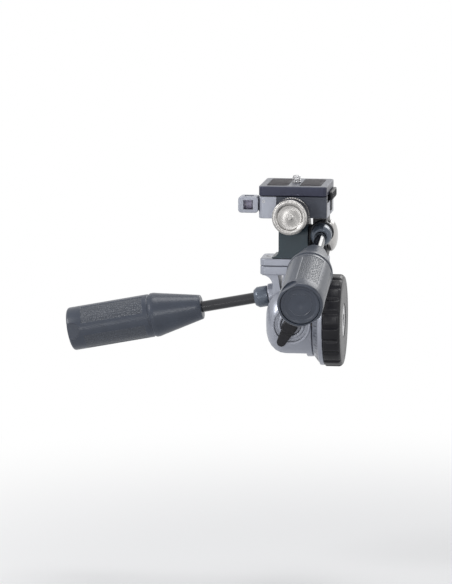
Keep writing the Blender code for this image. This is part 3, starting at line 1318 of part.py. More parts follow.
def rod_profile(screw_length, screw_radius):
    """Profile of a handle's rod, with its clamp screw on the inner end."""
    return [
        (-screw_length, 0),
        (-screw_length, screw_radius - RUN_GAP),
        (-screw_length + RUN_GAP, screw_radius),
        (RUN_GAP, screw_radius),
        (RUN_GAP, ROD_RADIUS),
        (GRIP_START + ROD_DEPTH, ROD_RADIUS),
        (GRIP_START + ROD_DEPTH, 0),
    ]


def ferrule_profile():
    """Profile of the ring at a handle's root, tapered on its outer end."""
    start, end = RUN_GAP, RUN_GAP + FERRULE_LENGTH
    bore = ROD_RADIUS + SEAT_GAP
    return [
        (start, bore),
        (start, FERRULE_RADIUS - SEAT_GAP),
        (start + SEAT_GAP, FERRULE_RADIUS),
        (end - FERRULE_TAPER, FERRULE_RADIUS),
        (end, FERRULE_TIP_RADIUS),
        (end, bore),
    ]


def thumb_notches(carrier, seam):
    """Cutters for the two notches at a grip's outer end, where its mould seam runs."""
    across = carrier.matrix_world.to_quaternion().inverted() @ Vector(seam)
    across = Vector((across.x, across.y, 0)).normalized()
    outline = arc((0, 0), NOTCH_RADIUS, 180, 360, CURVE_STEPS)
    outline += [(NOTCH_RADIUS, NOTCH_LENGTH), (-NOTCH_RADIUS, NOTCH_LENGTH)]
    along = Vector((0, 0, GRIP_END - NOTCH_LENGTH + NOTCH_RADIUS))
    for side in (1, -1):
        floor = along + across * side * (GRIP_RADIUS - NOTCH_DEPTH)
        yield aimed(pushed("notch", outline, 0, 2 * NOTCH_DEPTH, None, "Z"), floor, across * side)


def build_handle(title, carrier, screw_length, screw_radius, seam):
    """One handle: rod, ferrule, grip and cap, drawn along the pivot's own Z axis."""
    rod = turned(title + "_rod", rod_profile(screw_length, screw_radius), "black_rod", SMALL, "Z")
    ferrule = turned(title + "_ferrule", ferrule_profile(), "silver_paint", MEDIUM, "Z")
    grip = turned(title + "_grip", grip_profile(), "grip_rubber", ROUND, "Z")
    cut(grip, *thumb_notches(carrier, seam))
    cap = turned(title + "_cap", cap_profile(), "grip_rubber", ROUND, "Z")
    seat_local(carrier, rod, ferrule, grip, cap)


def build_pan_head():
    """Builds every piece and hangs it on the pivot of the joint that moves it."""
    seat(None, build_base_disc(), build_pan_spindle(), build_pan_scale_ring(), build_pan_nut())
    seat(None, *numbered("spindle_set_screw", build_set_screw, set_screw_places()))

    pan = pivot("pan_pivot", (HEAD_X, 0, 0))
    seat(pan, build_pan_housing(), build_pan_bush(), build_pan_washer(), build_tilt_axle())
    seat(pan, build_axle_cover(), build_lock_collar(), build_brake_pin())

    lock = pivot("pan_lock_pivot", (HEAD_X, -BOSS_FACE, 0), pan)
    seat(lock, build_lock_knob(), build_lock_stud())

    tilt = pivot("tilt_pivot", (HEAD_X, 0, 0), pan)
    seat(tilt, build_tilt_arm(), build_neck_flange(), build_neck())
    seat(tilt, build_flip_axle(), build_flip_washer(), build_flip_cap())
    seat(tilt, *numbered("tilt_washer", build_tilt_washer, (-1, 1)))
    seat(tilt, *screw_set("band_screw", band_screw_places(), band_screw_sizes()))
    seat(tilt, *screw_set("neck_screw", neck_screw_places(), neck_screw_sizes()))
    tilt_handle = pivot("tilt_handle_pivot", TILT_HANDLE_ROOT, tilt, TILT_HANDLE_OUT)
    build_handle("tilt_handle", tilt_handle, TILT_SCREW_LENGTH, TILT_SCREW_RADIUS, TILT_SEAM)

    flip = pivot("flip_pivot", (BRACKET_LEFT_X, 0, FLIP_Z), tilt)
    seat(flip, build_flip_bracket(), build_platform(), build_level_housing(), build_level_vial())
    seat(flip, *screw_set("platform_screw", platform_screw_places(), platform_screw_sizes()))
    flip_handle = pivot("flip_handle_pivot", FLIP_HANDLE_ROOT, flip, FLIP_HANDLE_OUT)
    build_handle("flip_handle", flip_handle, FLIP_SCREW_LENGTH, FLIP_SCREW_RADIUS, FLIP_SEAM)

    jaw = pivot("clamp_jaw_pivot", (PLATFORM_X, -PLATFORM_HALF_DEPTH, CLAMP_KNOB_Z), flip)
    seat(jaw, build_jaw(), *numbered("jaw_pin", build_jaw_pin, jaw_pin_places()))
    knob = pivot("clamp_knob_pivot", (PLATFORM_X, KNOB_BACK_Y, CLAMP_KNOB_Z), jaw)
    seat(knob, build_clamp_knob(), build_clamp_stud())

    latch = pivot("safety_latch_pivot", (LATCH_LEFT_X, LATCH_CENTRE_Y, LATCH_BOTTOM), flip)
    seat(latch, build_safety_latch())

    shoe = pivot("shoe_pivot", (PLATFORM_X, 0, SHOE_BOTTOM), flip)
    seat(shoe, build_shoe_plate(), build_screw_clip())
    seat(shoe, *numbered("shoe_pad", build_shoe_pad, pad_corners()))
    screw = pivot("camera_screw_pivot", (PLATFORM_X, 0, SHOE_TOP), shoe)
    seat(screw, build_camera_screw())


clear_scene()
build_pan_head()
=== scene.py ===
# %% [markdown]
# # Dressing a three-way pan head
# A pan head carries a camera. It turns on its round base, tilts on an axle between two
# cheeks, and tips sideways on a second axle under the camera clamp. All of its pieces come
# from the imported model, which stays where it is. This lesson gives each piece the surface
# of the real one, and models anew what a coarse solid can't show. Places and sizes of
# pieces are in millimetres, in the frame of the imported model.

# %% Load the frame
import json
import math
import bpy
from mathutils import Matrix, Vector

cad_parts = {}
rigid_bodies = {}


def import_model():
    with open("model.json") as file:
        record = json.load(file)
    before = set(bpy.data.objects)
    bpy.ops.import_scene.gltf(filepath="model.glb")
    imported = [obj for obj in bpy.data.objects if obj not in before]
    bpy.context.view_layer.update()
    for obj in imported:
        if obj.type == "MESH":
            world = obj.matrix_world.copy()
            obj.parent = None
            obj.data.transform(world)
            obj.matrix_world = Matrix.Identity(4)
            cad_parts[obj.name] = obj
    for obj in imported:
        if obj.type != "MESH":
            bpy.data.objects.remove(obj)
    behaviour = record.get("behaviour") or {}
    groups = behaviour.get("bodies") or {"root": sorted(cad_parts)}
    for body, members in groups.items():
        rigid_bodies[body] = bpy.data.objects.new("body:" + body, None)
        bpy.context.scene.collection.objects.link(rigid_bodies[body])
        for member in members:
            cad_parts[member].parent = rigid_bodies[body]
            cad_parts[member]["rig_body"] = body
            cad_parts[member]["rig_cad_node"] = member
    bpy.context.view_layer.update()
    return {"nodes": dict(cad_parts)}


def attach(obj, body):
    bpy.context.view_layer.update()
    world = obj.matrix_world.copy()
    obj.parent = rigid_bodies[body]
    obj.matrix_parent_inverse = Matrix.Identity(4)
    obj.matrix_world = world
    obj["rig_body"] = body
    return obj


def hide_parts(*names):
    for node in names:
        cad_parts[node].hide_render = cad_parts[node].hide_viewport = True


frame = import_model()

MM = 0.001

# %% [markdown]
# ## Camera
# The photograph was taken from a little above, with a long lens, so the sides of the head
# stay almost parallel. The view could be set by eye, but one camera was fitted to the
# whole head in the photograph first, which gives its distance and its side. This one stands
# there and looks straight at the head, so that no lens shift is needed. Its lens is longer,
# which makes the head larger in the picture and leaves its perspective alone.

# %% Place the camera
CAMERA_PLACE = Vector((226, -2366, 377)) * MM
CAMERA_TARGET = Vector((-83, -20, 22)) * MM
CAMERA_LENS = 206.0
CAMERA_CLIP = (0.1, 60.0)


def set_up(name, data, place, target):
    """Adds a camera or a lamp at a place, looking at a target."""
    made = bpy.data.objects.new(name, data)
    bpy.context.scene.collection.objects.link(made)
    made.location = place
    made.rotation_euler = (target - place).to_track_quat("-Z", "Y").to_euler()
    return made


camera_data = bpy.data.cameras.new("studio_camera")
camera_data.lens = CAMERA_LENS
camera_data.clip_start, camera_data.clip_end = CAMERA_CLIP
bpy.context.scene.camera = set_up("studio_camera", camera_data, CAMERA_PLACE, CAMERA_TARGET)
print("camera", round((CAMERA_TARGET - CAMERA_PLACE).length, 3), "m from the head")

# %% [markdown]
# ## Nodes
# A material is a tree of shader nodes. By hand, each node is added from a menu and its
# sockets are joined by wires. The helpers here do that in one line each, so that a
# material reads as what it mixes. Background rays are those that meet the background
# straight from the camera, through glass or in a reflection.

# %% Write the node helpers
def node(tree, kind, **inputs):
    """Adds a shader node and sets its sockets by name."""
    made = tree.nodes.new(kind)
    for name, value in inputs.items():
        made.inputs[name.replace("_", " ")].default_value = value
    return made


def calculated(tree, operation, first, second):
    """A math node, held between 0 and 1, on two sockets."""
    made = tree.nodes.new("ShaderNodeMath")
    made.operation = operation
    made.use_clamp = True
    tree.links.new(first, made.inputs[0])
    tree.links.new(second, made.inputs[1])
    return made.outputs[0]


def object_place(tree):
    """Where a point lies on its own object."""
    return tree.nodes.new("ShaderNodeTexCoord").outputs["Object"]


def background_rays(tree):
    """One for the rays that show the background, and zero for the rays that light the head."""
    path = tree.nodes.new("ShaderNodeLightPath")
    seen = path.outputs["Is Camera Ray"]
    for kind in ("Is Transmission Ray", "Is Glossy Ray"):
        seen = calculated(tree, "MAXIMUM", seen, path.outputs[kind])
    return seen


def either(tree, factor, first, second):
    """A shader between two."""
    made = tree.nodes.new("ShaderNodeMixShader")
    for socket, value in zip(made.inputs, (factor, first.outputs[0], second.outputs[0])):
        tree.links.new(value, socket)
    return made.outputs[0]


# %% [markdown]
# ## Floor
# The head hangs on its base, so the floor lies below the furthest reach of its handles.
# Studio paper is pale and takes the shadow, and further off it burns out to white. Stronger
# lamps could burn it out here too, but would bleach the head. So the floor is paper near
# the head and glows white further off, for background rays alone. Its sizes are in metres.

# %% Lay the floor
FLOOR_HEIGHT = -0.195
FLOOR_SIZE = 40.0
PAPER = {"Base Color": (0.90, 0.90, 0.90, 1.0), "Roughness": 0.9, "Specular IOR Level": 0.1}
PAPER_NEAR = 0.16
PAPER_FAR = 0.62
WHITE = (1.0, 1.0, 1.0, 1.0)

bpy.ops.object.select_all(action="DESELECT")
bpy.ops.mesh.primitive_plane_add(size=FLOOR_SIZE, location=(0, 0, FLOOR_HEIGHT))
floor = bpy.context.object
floor.name = "studio_floor"
floor_finish = bpy.data.materials.new("pale_floor")
floor_finish.use_nodes = True
tree = floor_finish.node_tree
paper = tree.nodes["Principled BSDF"]
for socket_name, value in PAPER.items():
    paper.inputs[socket_name].default_value = value
reach = tree.nodes.new("ShaderNodeVectorMath")
reach.operation = "LENGTH"
tree.links.new(object_place(tree), reach.inputs[0])
far = node(tree, "ShaderNodeMapRange", From_Min=PAPER_NEAR, From_Max=PAPER_FAR)
far.interpolation_type = "SMOOTHSTEP"
tree.links.new(reach.outputs["Value"], far.inputs["Value"])
glow = node(tree, "ShaderNodeEmission", Color=WHITE, Strength=1.0)
burnt_out = calculated(tree, "MULTIPLY", far.outputs[0], background_rays(tree))
tree.links.new(either(tree, burnt_out, paper, glow), tree.nodes["Material Output"].inputs["Surface"])
floor.data.materials.append(floor_finish)
print("floor at", round(FLOOR_HEIGHT / MM), "mm")

# %% [markdown]
# ## Light
# A large soft lamp on the left gives that side its pale edge, one above lights the top
# faces, and two weak ones fill the right side and the back. Two small ones stand in front:
# one above the camera, for the narrow glints on the grips and the knob's face, and one near
# the floor, for the thumb notches. A picture of a studio could light the scene as well, but
# six lamps are easier to read and to move. The sky is dim where it lights the head and
# white for background rays. A lamp is its name, its place and size in metres, and its watts.

# %% Light the studio
LAMP_TARGET = Vector((-0.08, 0, 0.03))
LAMPS = [
    ("key_lamp", (-2.1, -1.0, 1.3), 1.0, 36.0),
    ("top_lamp", (0.1, 0.3, 2.2), 1.2, 16.0),
    ("fill_lamp", (1.9, -1.2, 0.5), 0.9, 6.0),
    ("rim_lamp", (0.7, 2.1, 1.3), 1.3, 14.0),
    ("front_lamp", (0.3, -2.2, 0.62), 0.40, 6.0),
    ("low_lamp", (-0.7, -2.2, -0.02), 0.40, 2.5),
]
SKY_COLOUR = (0.93, 0.95, 1.0, 1.0)
SKY_LEVEL = 0.22

for name, place, size, power in LAMPS:
    data = bpy.data.lights.new(name, "AREA")
    data.shape = "DISK"
    data.size = size
    data.energy = power
    set_up(name, data, Vector(place), LAMP_TARGET)

world = bpy.data.worlds.new("studio_sky")
world.use_nodes = True
bpy.context.scene.world = world
tree = world.node_tree
tree.nodes.clear()
sky = node(tree, "ShaderNodeBackground", Color=SKY_COLOUR, Strength=SKY_LEVEL)
white = node(tree, "ShaderNodeBackground", Color=WHITE, Strength=1.0)
out = tree.nodes.new("ShaderNodeOutputWorld")
tree.links.new(either(tree, background_rays(tree), sky, white), out.inputs[0])
bpy.context.scene.view_settings.view_transform = "Standard"
print(len(LAMPS), "lamps,", sum(power for *_, power in LAMPS), "W")

# %% [markdown]
# ## Colour and grain
# No real surface has one tone. Its colour drifts in soft patches, and a fine grain breaks
# its gloss. Photographs of surfaces could bring that in, but here noise patterns do, because
# they fit a piece of any shape and stay sharp close up. Their scale counts grains in a
# metre, so it is high: the whole head is only a hand wide.

# %% Mix colours and stretch patterns
NOISE_ROUGHNESS = 0.6


def mixed(tree, factor, first, second):
    """A colour between two, each a socket or three numbers."""
    made = tree.nodes.new("ShaderNodeMix")
    made.data_type = "RGBA"
    tree.links.new(factor, made.inputs[0])
    for socket, value in zip((made.inputs[6], made.inputs[7]), (first, second)):
        if isinstance(value, bpy.types.NodeSocket):
            tree.links.new(value, socket)
        else:
            socket.default_value = (*value, 1.0)
    return made.outputs[2]


def ramped(tree, source, low, high, start=0.0, end=1.0):
    """Stretches a socket's range low to high into start to end."""
    made = node(tree, "ShaderNodeMapRange", From_Min=low, From_Max=high, To_Min=start, To_Max=end)
    tree.links.new(source, made.inputs["Value"])
    return made.outputs[0]


def noise(tree, place, scale, detail):
    """A cloudy pattern, which lies around a half."""
    made = node(tree, "ShaderNodeTexNoise", Scale=scale, Detail=detail, Roughness=NOISE_ROUGHNESS)
    tree.links.new(place, made.inputs["Vector"])
    return made.outputs[0]


def toned(colour, share):
    """A colour made lighter or darker by a share."""
    return [min(channel * share, 1.0) for channel in colour]


# %% [markdown]
# ## Dots, rings and pale edges
# Three marks tell how a piece was made. A moulded grip has a stipple, which is drawn as one
# dot in each cell of a Voronoi pattern, with painted shade between the dots. A turned face
# has rings around its axis, with painted shade in their grooves, and its gloss is stretched
# along them. Edges show a paler tone: partly real wear, as paint is thin where two faces
# meet, and partly a painted highlight along every edge. An edge is found by comparing the
# true normal with one that the Bevel node rounds off: they differ only there.

# %% Draw dots, rings and pale edges
STIPPLE_DISORDER = 0.45
DOT_RANGE = (0.15, 0.55)
WAVE_PERIOD = math.pi / 10
RING_DISTORTION = 0.3
# Edges show a paler tone, partly real wear and partly a painted highlight: over this range of bend, in these
# patches.
EDGE_RANGE = (0.985, 0.80)
EDGE_TINT_PATCHES = (0.35, 0.6, 0.3, 1.0)


def stipple(tree, place, pitch):
    """The height of a moulded stipple with a pitch in mm: one in each dot, zero around it."""
    cells = node(tree, "ShaderNodeTexVoronoi", Scale=1 / (pitch * MM), Randomness=STIPPLE_DISORDER)
    tree.links.new(place, cells.inputs["Vector"])
    return ramped(tree, cells.outputs["Distance"], *DOT_RANGE, 1.0, 0.0)


def lathe_rings(tree, place, axis, centre, pitch):
    """The height of the rings a lathe leaves around an axis. Centre and pitch are in mm."""
    middle = node(tree, "ShaderNodeMapping", Location=[-c * MM for c in centre])
    tree.links.new(place, middle.inputs["Vector"])
    rings = node(tree, "ShaderNodeTexWave", Scale=WAVE_PERIOD / (pitch * MM), Distortion=RING_DISTORTION,
                 Detail=1.0)
    rings.wave_type = "RINGS"
    rings.rings_direction = axis
    tree.links.new(middle.outputs[0], rings.inputs["Vector"])
    return rings.outputs[1]


def stretch_gloss(tree, shader, axis, amount):
    """Stretches a shader's gloss around an axis."""
    shader.inputs["Anisotropic"].default_value = amount
    around = tree.nodes.new("ShaderNodeTangent")
    around.direction_type = "RADIAL"
    around.axis = axis
    tree.links.new(around.outputs[0], shader.inputs["Tangent"])


def worn_and_highlit_edges(tree, rounded, cloud, wear_and_highlight):
    """How pale a point is: up to a share where two faces meet, less in some patches, else zero. The paler
    tone is partly worn paint and partly a painted highlight.
    """
    meet = tree.nodes.new("ShaderNodeVectorMath")
    meet.operation = "DOT_PRODUCT"
    tree.links.new(rounded, meet.inputs[0])
    tree.links.new(tree.nodes.new("ShaderNodeNewGeometry").outputs["Normal"], meet.inputs[1])
    bend = ramped(tree, meet.outputs["Value"], *EDGE_RANGE, 0.0, wear_and_highlight)
    return calculated(tree, "MULTIPLY", bend, ramped(tree, cloud, *EDGE_TINT_PATCHES))


# %% [markdown]
# ## One recipe for all finishes
# Paint, powder coat, moulded plastic and turned metal differ in numbers more than in kind,
# so one recipe makes them all. It puts patches under the colour, grain under the gloss,
# height under the normal, and a paler tone on the edges, partly real wear and partly a
# painted highlight. A finish that differs in kind adds its dots or rings, with painted
# shade between the dots and in the grooves. Values that are the same all over go straight
# onto the shader's sockets.

# %% Build the surface recipe
PATCH_RANGE = (0.3, 0.7)
SPECK_RANGE = (0.35, 0.65)
GLOSS_RANGE = (0.0, 0.5)
CLOUD_DETAIL = 4.0
GRAIN_DETAIL = 3.0
BEVEL_SAMPLES = 4
COAT_ROUGHNESS = 0.10
# Painted shade: the colour between a stipple's raised dots is darker by this share.
DOT_GAP_SHADE = 0.60
# Painted shade: the colour in the grooves of lathe rings is darker by this share.
GROOVE_SHADE = 0.86
GROOVES_SHOW = 0.4


def surface(name, colour, roughness, metallic=0.0, grain=1100.0, depth=0.02, spread=0.05, patch=70.0,
            tone=0.10, stretch=(1, 1, 1), edge=None, wear_and_highlight=0.6, bevel=0.4, coat=0.0, specular=0.5,
            brushed=0.0, dots=0.0, turned=None):
    """A finish with grain, patchy tone and gloss, soft edges, and a paler tone along them that is partly worn
    paint and partly a painted highlight. Dots and rings bring painted shade between the dots and into the
    grooves.

    Depth, bevel and dots, the pitch of a stipple, are in mm. Turned is an axis, a centre in mm
    and the pitch of the rings in mm.
    """
    made = bpy.data.materials.new(name)
    made.use_nodes = True
    tree = made.node_tree
    shader = tree.nodes["Principled BSDF"]
    shader.inputs["Metallic"].default_value = metallic
    shader.inputs["Coat Weight"].default_value = coat
    shader.inputs["Coat Roughness"].default_value = COAT_ROUGHNESS
    shader.inputs["Specular IOR Level"].default_value = specular
    place = object_place(tree)
    mapping = node(tree, "ShaderNodeMapping", Scale=stretch)
    tree.links.new(place, mapping.inputs["Vector"])
    stretched = mapping.outputs[0]
    cloud = noise(tree, place, patch, CLOUD_DETAIL)
    speck = ramped(tree, noise(tree, stretched, grain, GRAIN_DETAIL), *SPECK_RANGE)
    light = toned(colour, 1 + tone)
    shade = mixed(tree, ramped(tree, cloud, *PATCH_RANGE), toned(colour, 1 - tone), light)
    height = speck
    if dots:
        height = stipple(tree, stretched, dots)
        # Painted shade in the low ground between the raised dots.
        shade = mixed(tree, height, toned(colour, DOT_GAP_SHADE), shade)
    if turned:
        stretch_gloss(tree, shader, turned[0], brushed)
        height = lathe_rings(tree, place, *turned)
        # Painted shade in the grooves of the rings, lighter in some patches.
        groove = mixed(tree, height, toned(colour, GROOVE_SHADE), colour)
        shade = mixed(tree, ramped(tree, cloud, *PATCH_RANGE, 0.0, GROOVES_SHOW), groove, light)
    rounded = node(tree, "ShaderNodeBevel", Radius=bevel * MM)
    rounded.samples = BEVEL_SAMPLES
    if edge:
        # Paler edges: partly worn paint, partly a painted highlight along every edge.
        shade = mixed(tree, worn_and_highlit_edges(tree, rounded.outputs[0], cloud, wear_and_highlight), shade, edge)
    tree.links.new(shade, shader.inputs["Base Color"])
    gloss = calculated(tree, "MULTIPLY", speck, cloud)
    gloss = ramped(tree, gloss, *GLOSS_RANGE, roughness - spread, roughness + spread)
    tree.links.new(gloss, shader.inputs["Roughness"])
    bump = node(tree, "ShaderNodeBump", Strength=1.0, Distance=depth * MM)
    tree.links.new(height, bump.inputs["Height"])
    tree.links.new(rounded.outputs[0], bump.inputs["Normal"])
    tree.links.new(bump.outputs[0], shader.inputs["Normal"])
    return made


# %% [markdown]
# ## Metals
# The cap of the side axle is turned and polished, the screws and pins are machined steel
# with a drawn-out grain, the bush is brass, and the handles' rods have a gloss black coat.
# A metal could be one shiny grey, but then it looks like chrome. Rings, grain and a little
# patchiness tell the lathe from the mill.

# %% Mix the metals
SIDE_AXLE_END = (-10.9, 0, 61.5)
# Edge colours are a paler tone, partly real wear and partly a painted highlight; turned metal also gets
# painted shade in its ring grooves.
FINISHES = {
    "turned_aluminium": surface("turned_aluminium", (0.50, 0.49, 0.48), 0.24, 1.0, grain=2600, depth=0.001,
                                turned=("X", SIDE_AXLE_END, 1.5), brushed=0.5, tone=0.04, spread=0.015),
    "steel": surface("machined_steel", (0.44, 0.44, 0.45), 0.26, 1.0, grain=1400, depth=0.005, tone=0.06,
                     stretch=(1, 1, 0.12), edge=(0.72, 0.72, 0.73), wear_and_highlight=0.5, bevel=0.15),
    "brass": surface("turned_brass", (0.66, 0.47, 0.22), 0.30, 1.0, grain=1400, depth=0.004, tone=0.1),
    "black_rod": surface("gloss_black_rod", (0.010, 0.011, 0.016), 0.14, 0.2, grain=500, depth=0.004,
                         tone=0.2, spread=0.03, coat=0.4),
}
print(len(FINISHES), "metals")

# %% [markdown]
# ## Paints
# The castings are painted: a silver coat with a fine orange peel on the housing, the arm
# and the clamp, and dark powder coats on the neck, the side bracket and the jaw. A powder
# coat is rougher than a sprayed one, so its grain is deeper. Silver paint holds metal
# flakes, so it is half metallic. The tapered rings on the handles are a plain grey, and the
# marks of the scale are ink.

# %% Mix the paints
# Edge colours in these paints and the ferrule's are a paler tone: partly real wear, partly a painted
# highlight.
FINISHES.update({
    "silver_paint": surface("painted_silver", (0.31, 0.325, 0.375), 0.34, 0.50, grain=1300, depth=0.0035,
                            tone=0.07, spread=0.03, edge=(0.66, 0.67, 0.71), wear_and_highlight=0.5, coat=0.1,
                            specular=0.4),
    "black_casting": surface("black_powder_coat", (0.011, 0.012, 0.016), 0.42, 0.1, grain=1500,
                             depth=0.028, tone=0.2, edge=(0.10, 0.10, 0.11), wear_and_highlight=0.5),
    "teal_casting": surface("teal_powder_coat", (0.016, 0.031, 0.042), 0.40, 0.15, grain=1500,
                            depth=0.024, tone=0.18, edge=(0.09, 0.12, 0.14), wear_and_highlight=0.5, coat=0.1),
    "slate_casting": surface("slate_powder_coat", (0.042, 0.048, 0.066), 0.40, 0.25, grain=1500,
                             depth=0.022, tone=0.16, edge=(0.20, 0.21, 0.23), wear_and_highlight=0.5),
})
ferrule_coat = surface("grey_ferrule", (0.095, 0.115, 0.150), 0.30, 0.3, grain=1500, depth=0.006,
                       tone=0.08, edge=(0.42, 0.44, 0.48), wear_and_highlight=0.7, coat=0.2)
mark_finish = surface("scale_ink", (0.016, 0.016, 0.018), 0.45, 0.0, grain=2400, depth=0.004, tone=0.2)
print(len(FINISHES), "finishes so far")

# %% [markdown]
# ## Plastics and rubber
# The base disc and the pan lock's knob are black plastic, the grips are moulded in a bluish
# dark grey, and the pads are rubber. They aren't metallic, so their colour stays dark and
# only their gloss tells them apart: a grip shines softly, and a pad hardly at all. The
# grip's rough face is a finish of its own, with a dot every 1.15 mm.

# %% Mix the plastics and rubber
# Edge colours of the plastics and rubber are a paler tone: partly real wear, partly a painted highlight.
FINISHES.update({
    "black_plastic": surface("black_plastic", (0.007, 0.007, 0.010), 0.34, 0.0, grain=2100, depth=0.014,
                             tone=0.2, edge=(0.05, 0.05, 0.06), wear_and_highlight=0.4, specular=0.25),
    "grip_rubber": surface("moulded_grip", (0.040, 0.049, 0.070), 0.33, 0.0, grain=2400, depth=0.006,
                           tone=0.10, edge=(0.20, 0.22, 0.26), wear_and_highlight=0.45, bevel=0.3, specular=0.45),
    "pad_rubber": surface("ribbed_pad", (0.032, 0.028, 0.034), 0.72, 0.0, grain=2600, depth=0.020,
                          tone=0.2),
    "nylon": surface("black_nylon", (0.05, 0.05, 0.055), 0.50, 0.0, grain=900, depth=0.010, tone=0.1),
    "vial_acrylic": surface("vial_end", (0.50, 0.48, 0.58), 0.10, 0.0, grain=400, depth=0.002, tone=0.05),
})
# The grip's rough face, with painted shade between its dots.
stippled = surface("stippled_grip", (0.052, 0.063, 0.087), 0.36, 0.0, grain=1100, depth=0.22, tone=0.16,
                   bevel=0.2, specular=0.6, dots=1.15)
print(len(FINISHES), "finishes so far")

# %% [markdown]
# ## Camera plate
# The plate is anodised dark blue all over, and then its top is milled, so the top face and
# its rim are bare. Two pieces or two material slots could show that. One material that
# changes over a tenth of a millimetre of height keeps the plate in one piece.

# %% Mill the top of the camera plate
MILLED_ABOVE = 98.9
MILLED_BLEND = 0.1
MILLED_COLOUR = (0.105, 0.112, 0.140)
MILLED_METALLIC = 0.9
PLATE_METALLIC = 0.35

# Its edge colour is a paler tone: partly real wear, partly a painted highlight.
plate_finish = surface("navy_anodised", (0.026, 0.029, 0.056), 0.34, PLATE_METALLIC, grain=1500, depth=0.008,
                       tone=0.15, stretch=(1, 0.1, 1), edge=(0.20, 0.21, 0.26), wear_and_highlight=0.6)
tree = plate_finish.node_tree
shader = tree.nodes["Principled BSDF"]
navy = shader.inputs["Base Color"].links[0].from_socket
split = tree.nodes.new("ShaderNodeSeparateXYZ")
tree.links.new(object_place(tree), split.inputs[0])
milled = ramped(tree, split.outputs["Z"], (MILLED_ABOVE - MILLED_BLEND) * MM, MILLED_ABOVE * MM)
tree.links.new(mixed(tree, milled, navy, MILLED_COLOUR), shader.inputs["Base Color"])
tree.links.new(ramped(tree, milled, 0.0, 1.0, PLATE_METALLIC, MILLED_METALLIC), shader.inputs["Metallic"])
FINISHES["navy_anodised"] = plate_finish

for part in frame["nodes"].values():
    slot_name = part.data.materials[0].name.split(".")[0]
    part.data.materials[0] = FINISHES[slot_name]
print(len(FINISHES), "finishes on", len(frame["nodes"]), "nodes")

# %% [markdown]
# ## Turned pieces
# Most of the head is turned on a lathe or moulded round. A cylinder with bevels could stand
# for each, but one helper draws them all better: it starts with a ring and pulls it from
# station to station, as a lathe tool would trace the profile. Each piece is drawn along Z,
# and then stood on its real axis. Stations are (height, radius) in mm.

# %% Write the lathe
MERGE_DISTANCE = 0.002 * MM


def pick_all():
    bpy.ops.mesh.select_all(action="SELECT")


def turn(name, stations, segments=64, closed=False):
    """Pulls a ring along Z through the stations. A closed profile ends where it starts."""
    height, radius = stations[0]
    bpy.ops.object.select_all(action="DESELECT")
    bpy.ops.mesh.primitive_circle_add(vertices=segments, radius=radius * MM, location=(0, 0, 0))
    piece = bpy.context.object
    piece.name = name
    bpy.ops.object.mode_set(mode="EDIT")
    pick_all()
    bpy.ops.transform.translate(value=(0, 0, height * MM))
    for next_height, next_radius in stations[1:]:
        rise = (next_height - height) * MM
        bpy.ops.mesh.extrude_region_move(TRANSFORM_OT_translate={"value": (0, 0, rise)})
        share = next_radius / radius
        bpy.ops.transform.resize(value=(share, share, 1), center_override=(0, 0, 0))
        height, radius = next_height, next_radius
    pick_all()
    if closed:
        bpy.ops.mesh.remove_doubles(threshold=MERGE_DISTANCE)
    else:
        bpy.ops.mesh.fill_holes(sides=0)
    bpy.ops.mesh.normals_make_consistent(inside=False)
    bpy.ops.object.mode_set(mode="OBJECT")
    return piece


# %% [markdown]
# ## From the lathe to the head
# A finished piece sits at the origin with its place in its mesh, as a packed one does, so
# that patterns and joints fit both. Handing a piece over puts a finish on it, parents it to
# the body it rides on, and hides the imported nodes that it stands for.

# %% Write the handing over
EDGE_ANGLE = math.radians(32)


def only(piece):
    """Selects one piece and makes it the active one."""
    bpy.ops.object.select_all(action="DESELECT")
    piece.select_set(True)
    bpy.context.view_layer.objects.active = piece


def settle(piece, place):
    """Moves a piece by a matrix, and puts the place into its mesh."""
    piece.matrix_world = place
    only(piece)
    bpy.ops.object.transform_apply(location=True, rotation=True, scale=True)
    return piece


def aim(root, direction):
    """The matrix that stands a piece drawn along Z on a root in mm, looking along a direction."""
    look = Vector(direction).to_track_quat("Z", "Y").to_matrix().to_4x4()
    return Matrix.Translation(Vector(root) * MM) @ look


def stand(piece, root, direction):
    """Stands a piece drawn along Z on its real axis."""
    return settle(piece, aim(root, direction))


def hand_over(piece, body, slot_name, nodes=(), finish=None):
    """Gives a piece its finish, its smooth shading and its body, and hides the imported nodes that it stands
    for.

    Without a finish it gets the slot's own, and "kept" leaves the ones it has.
    """
    if finish != "kept":
        piece.data.materials.clear()
        piece.data.materials.append(finish or FINISHES[slot_name])
    only(piece)
    bpy.ops.object.shade_smooth_by_angle(angle=EDGE_ANGLE)
    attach(piece, body)
    if nodes:
        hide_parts(*nodes)
    print(piece.name, len(piece.data.polygons), "faces on", body)
    return piece


# %% [markdown]
# ## Joining, cutting and bars
# What a lathe can't make is cut away or put on. A cut is a Boolean modifier that is applied
# at once. A bar is a box with a Bevel modifier, and an Array modifier repeats it in a row,
# because a row of ribs is one rib copied.

# %% Write the bench tools
def join(target, *others):
    """Joins pieces into the first one."""
    only(target)
    for other in others:
        other.select_set(True)
    bpy.ops.object.join()
    return target


def cut(piece, cutter):
    """Cuts one piece with another, and removes the cutter."""
    only(piece)
    change = piece.modifiers.new("cut", "BOOLEAN")
    change.object = cutter
    change.operation = "DIFFERENCE"
    change.solver = "EXACT"
    bpy.ops.object.modifier_apply(modifier="cut")
    bpy.data.objects.remove(cutter, do_unlink=True)
    return piece


def box(name, low, high):
    """A box between two corners in mm."""
    bpy.ops.object.select_all(action="DESELECT")
    middle = [(a + b) / 2 * MM for a, b in zip(low, high)]
    bpy.ops.mesh.primitive_cube_add(size=1, location=middle)
    made = bpy.context.object
    made.name = name
    made.scale = [(b - a) * MM for a, b in zip(low, high)]
    bpy.ops.object.transform_apply(location=True, rotation=True, scale=True)
    return made


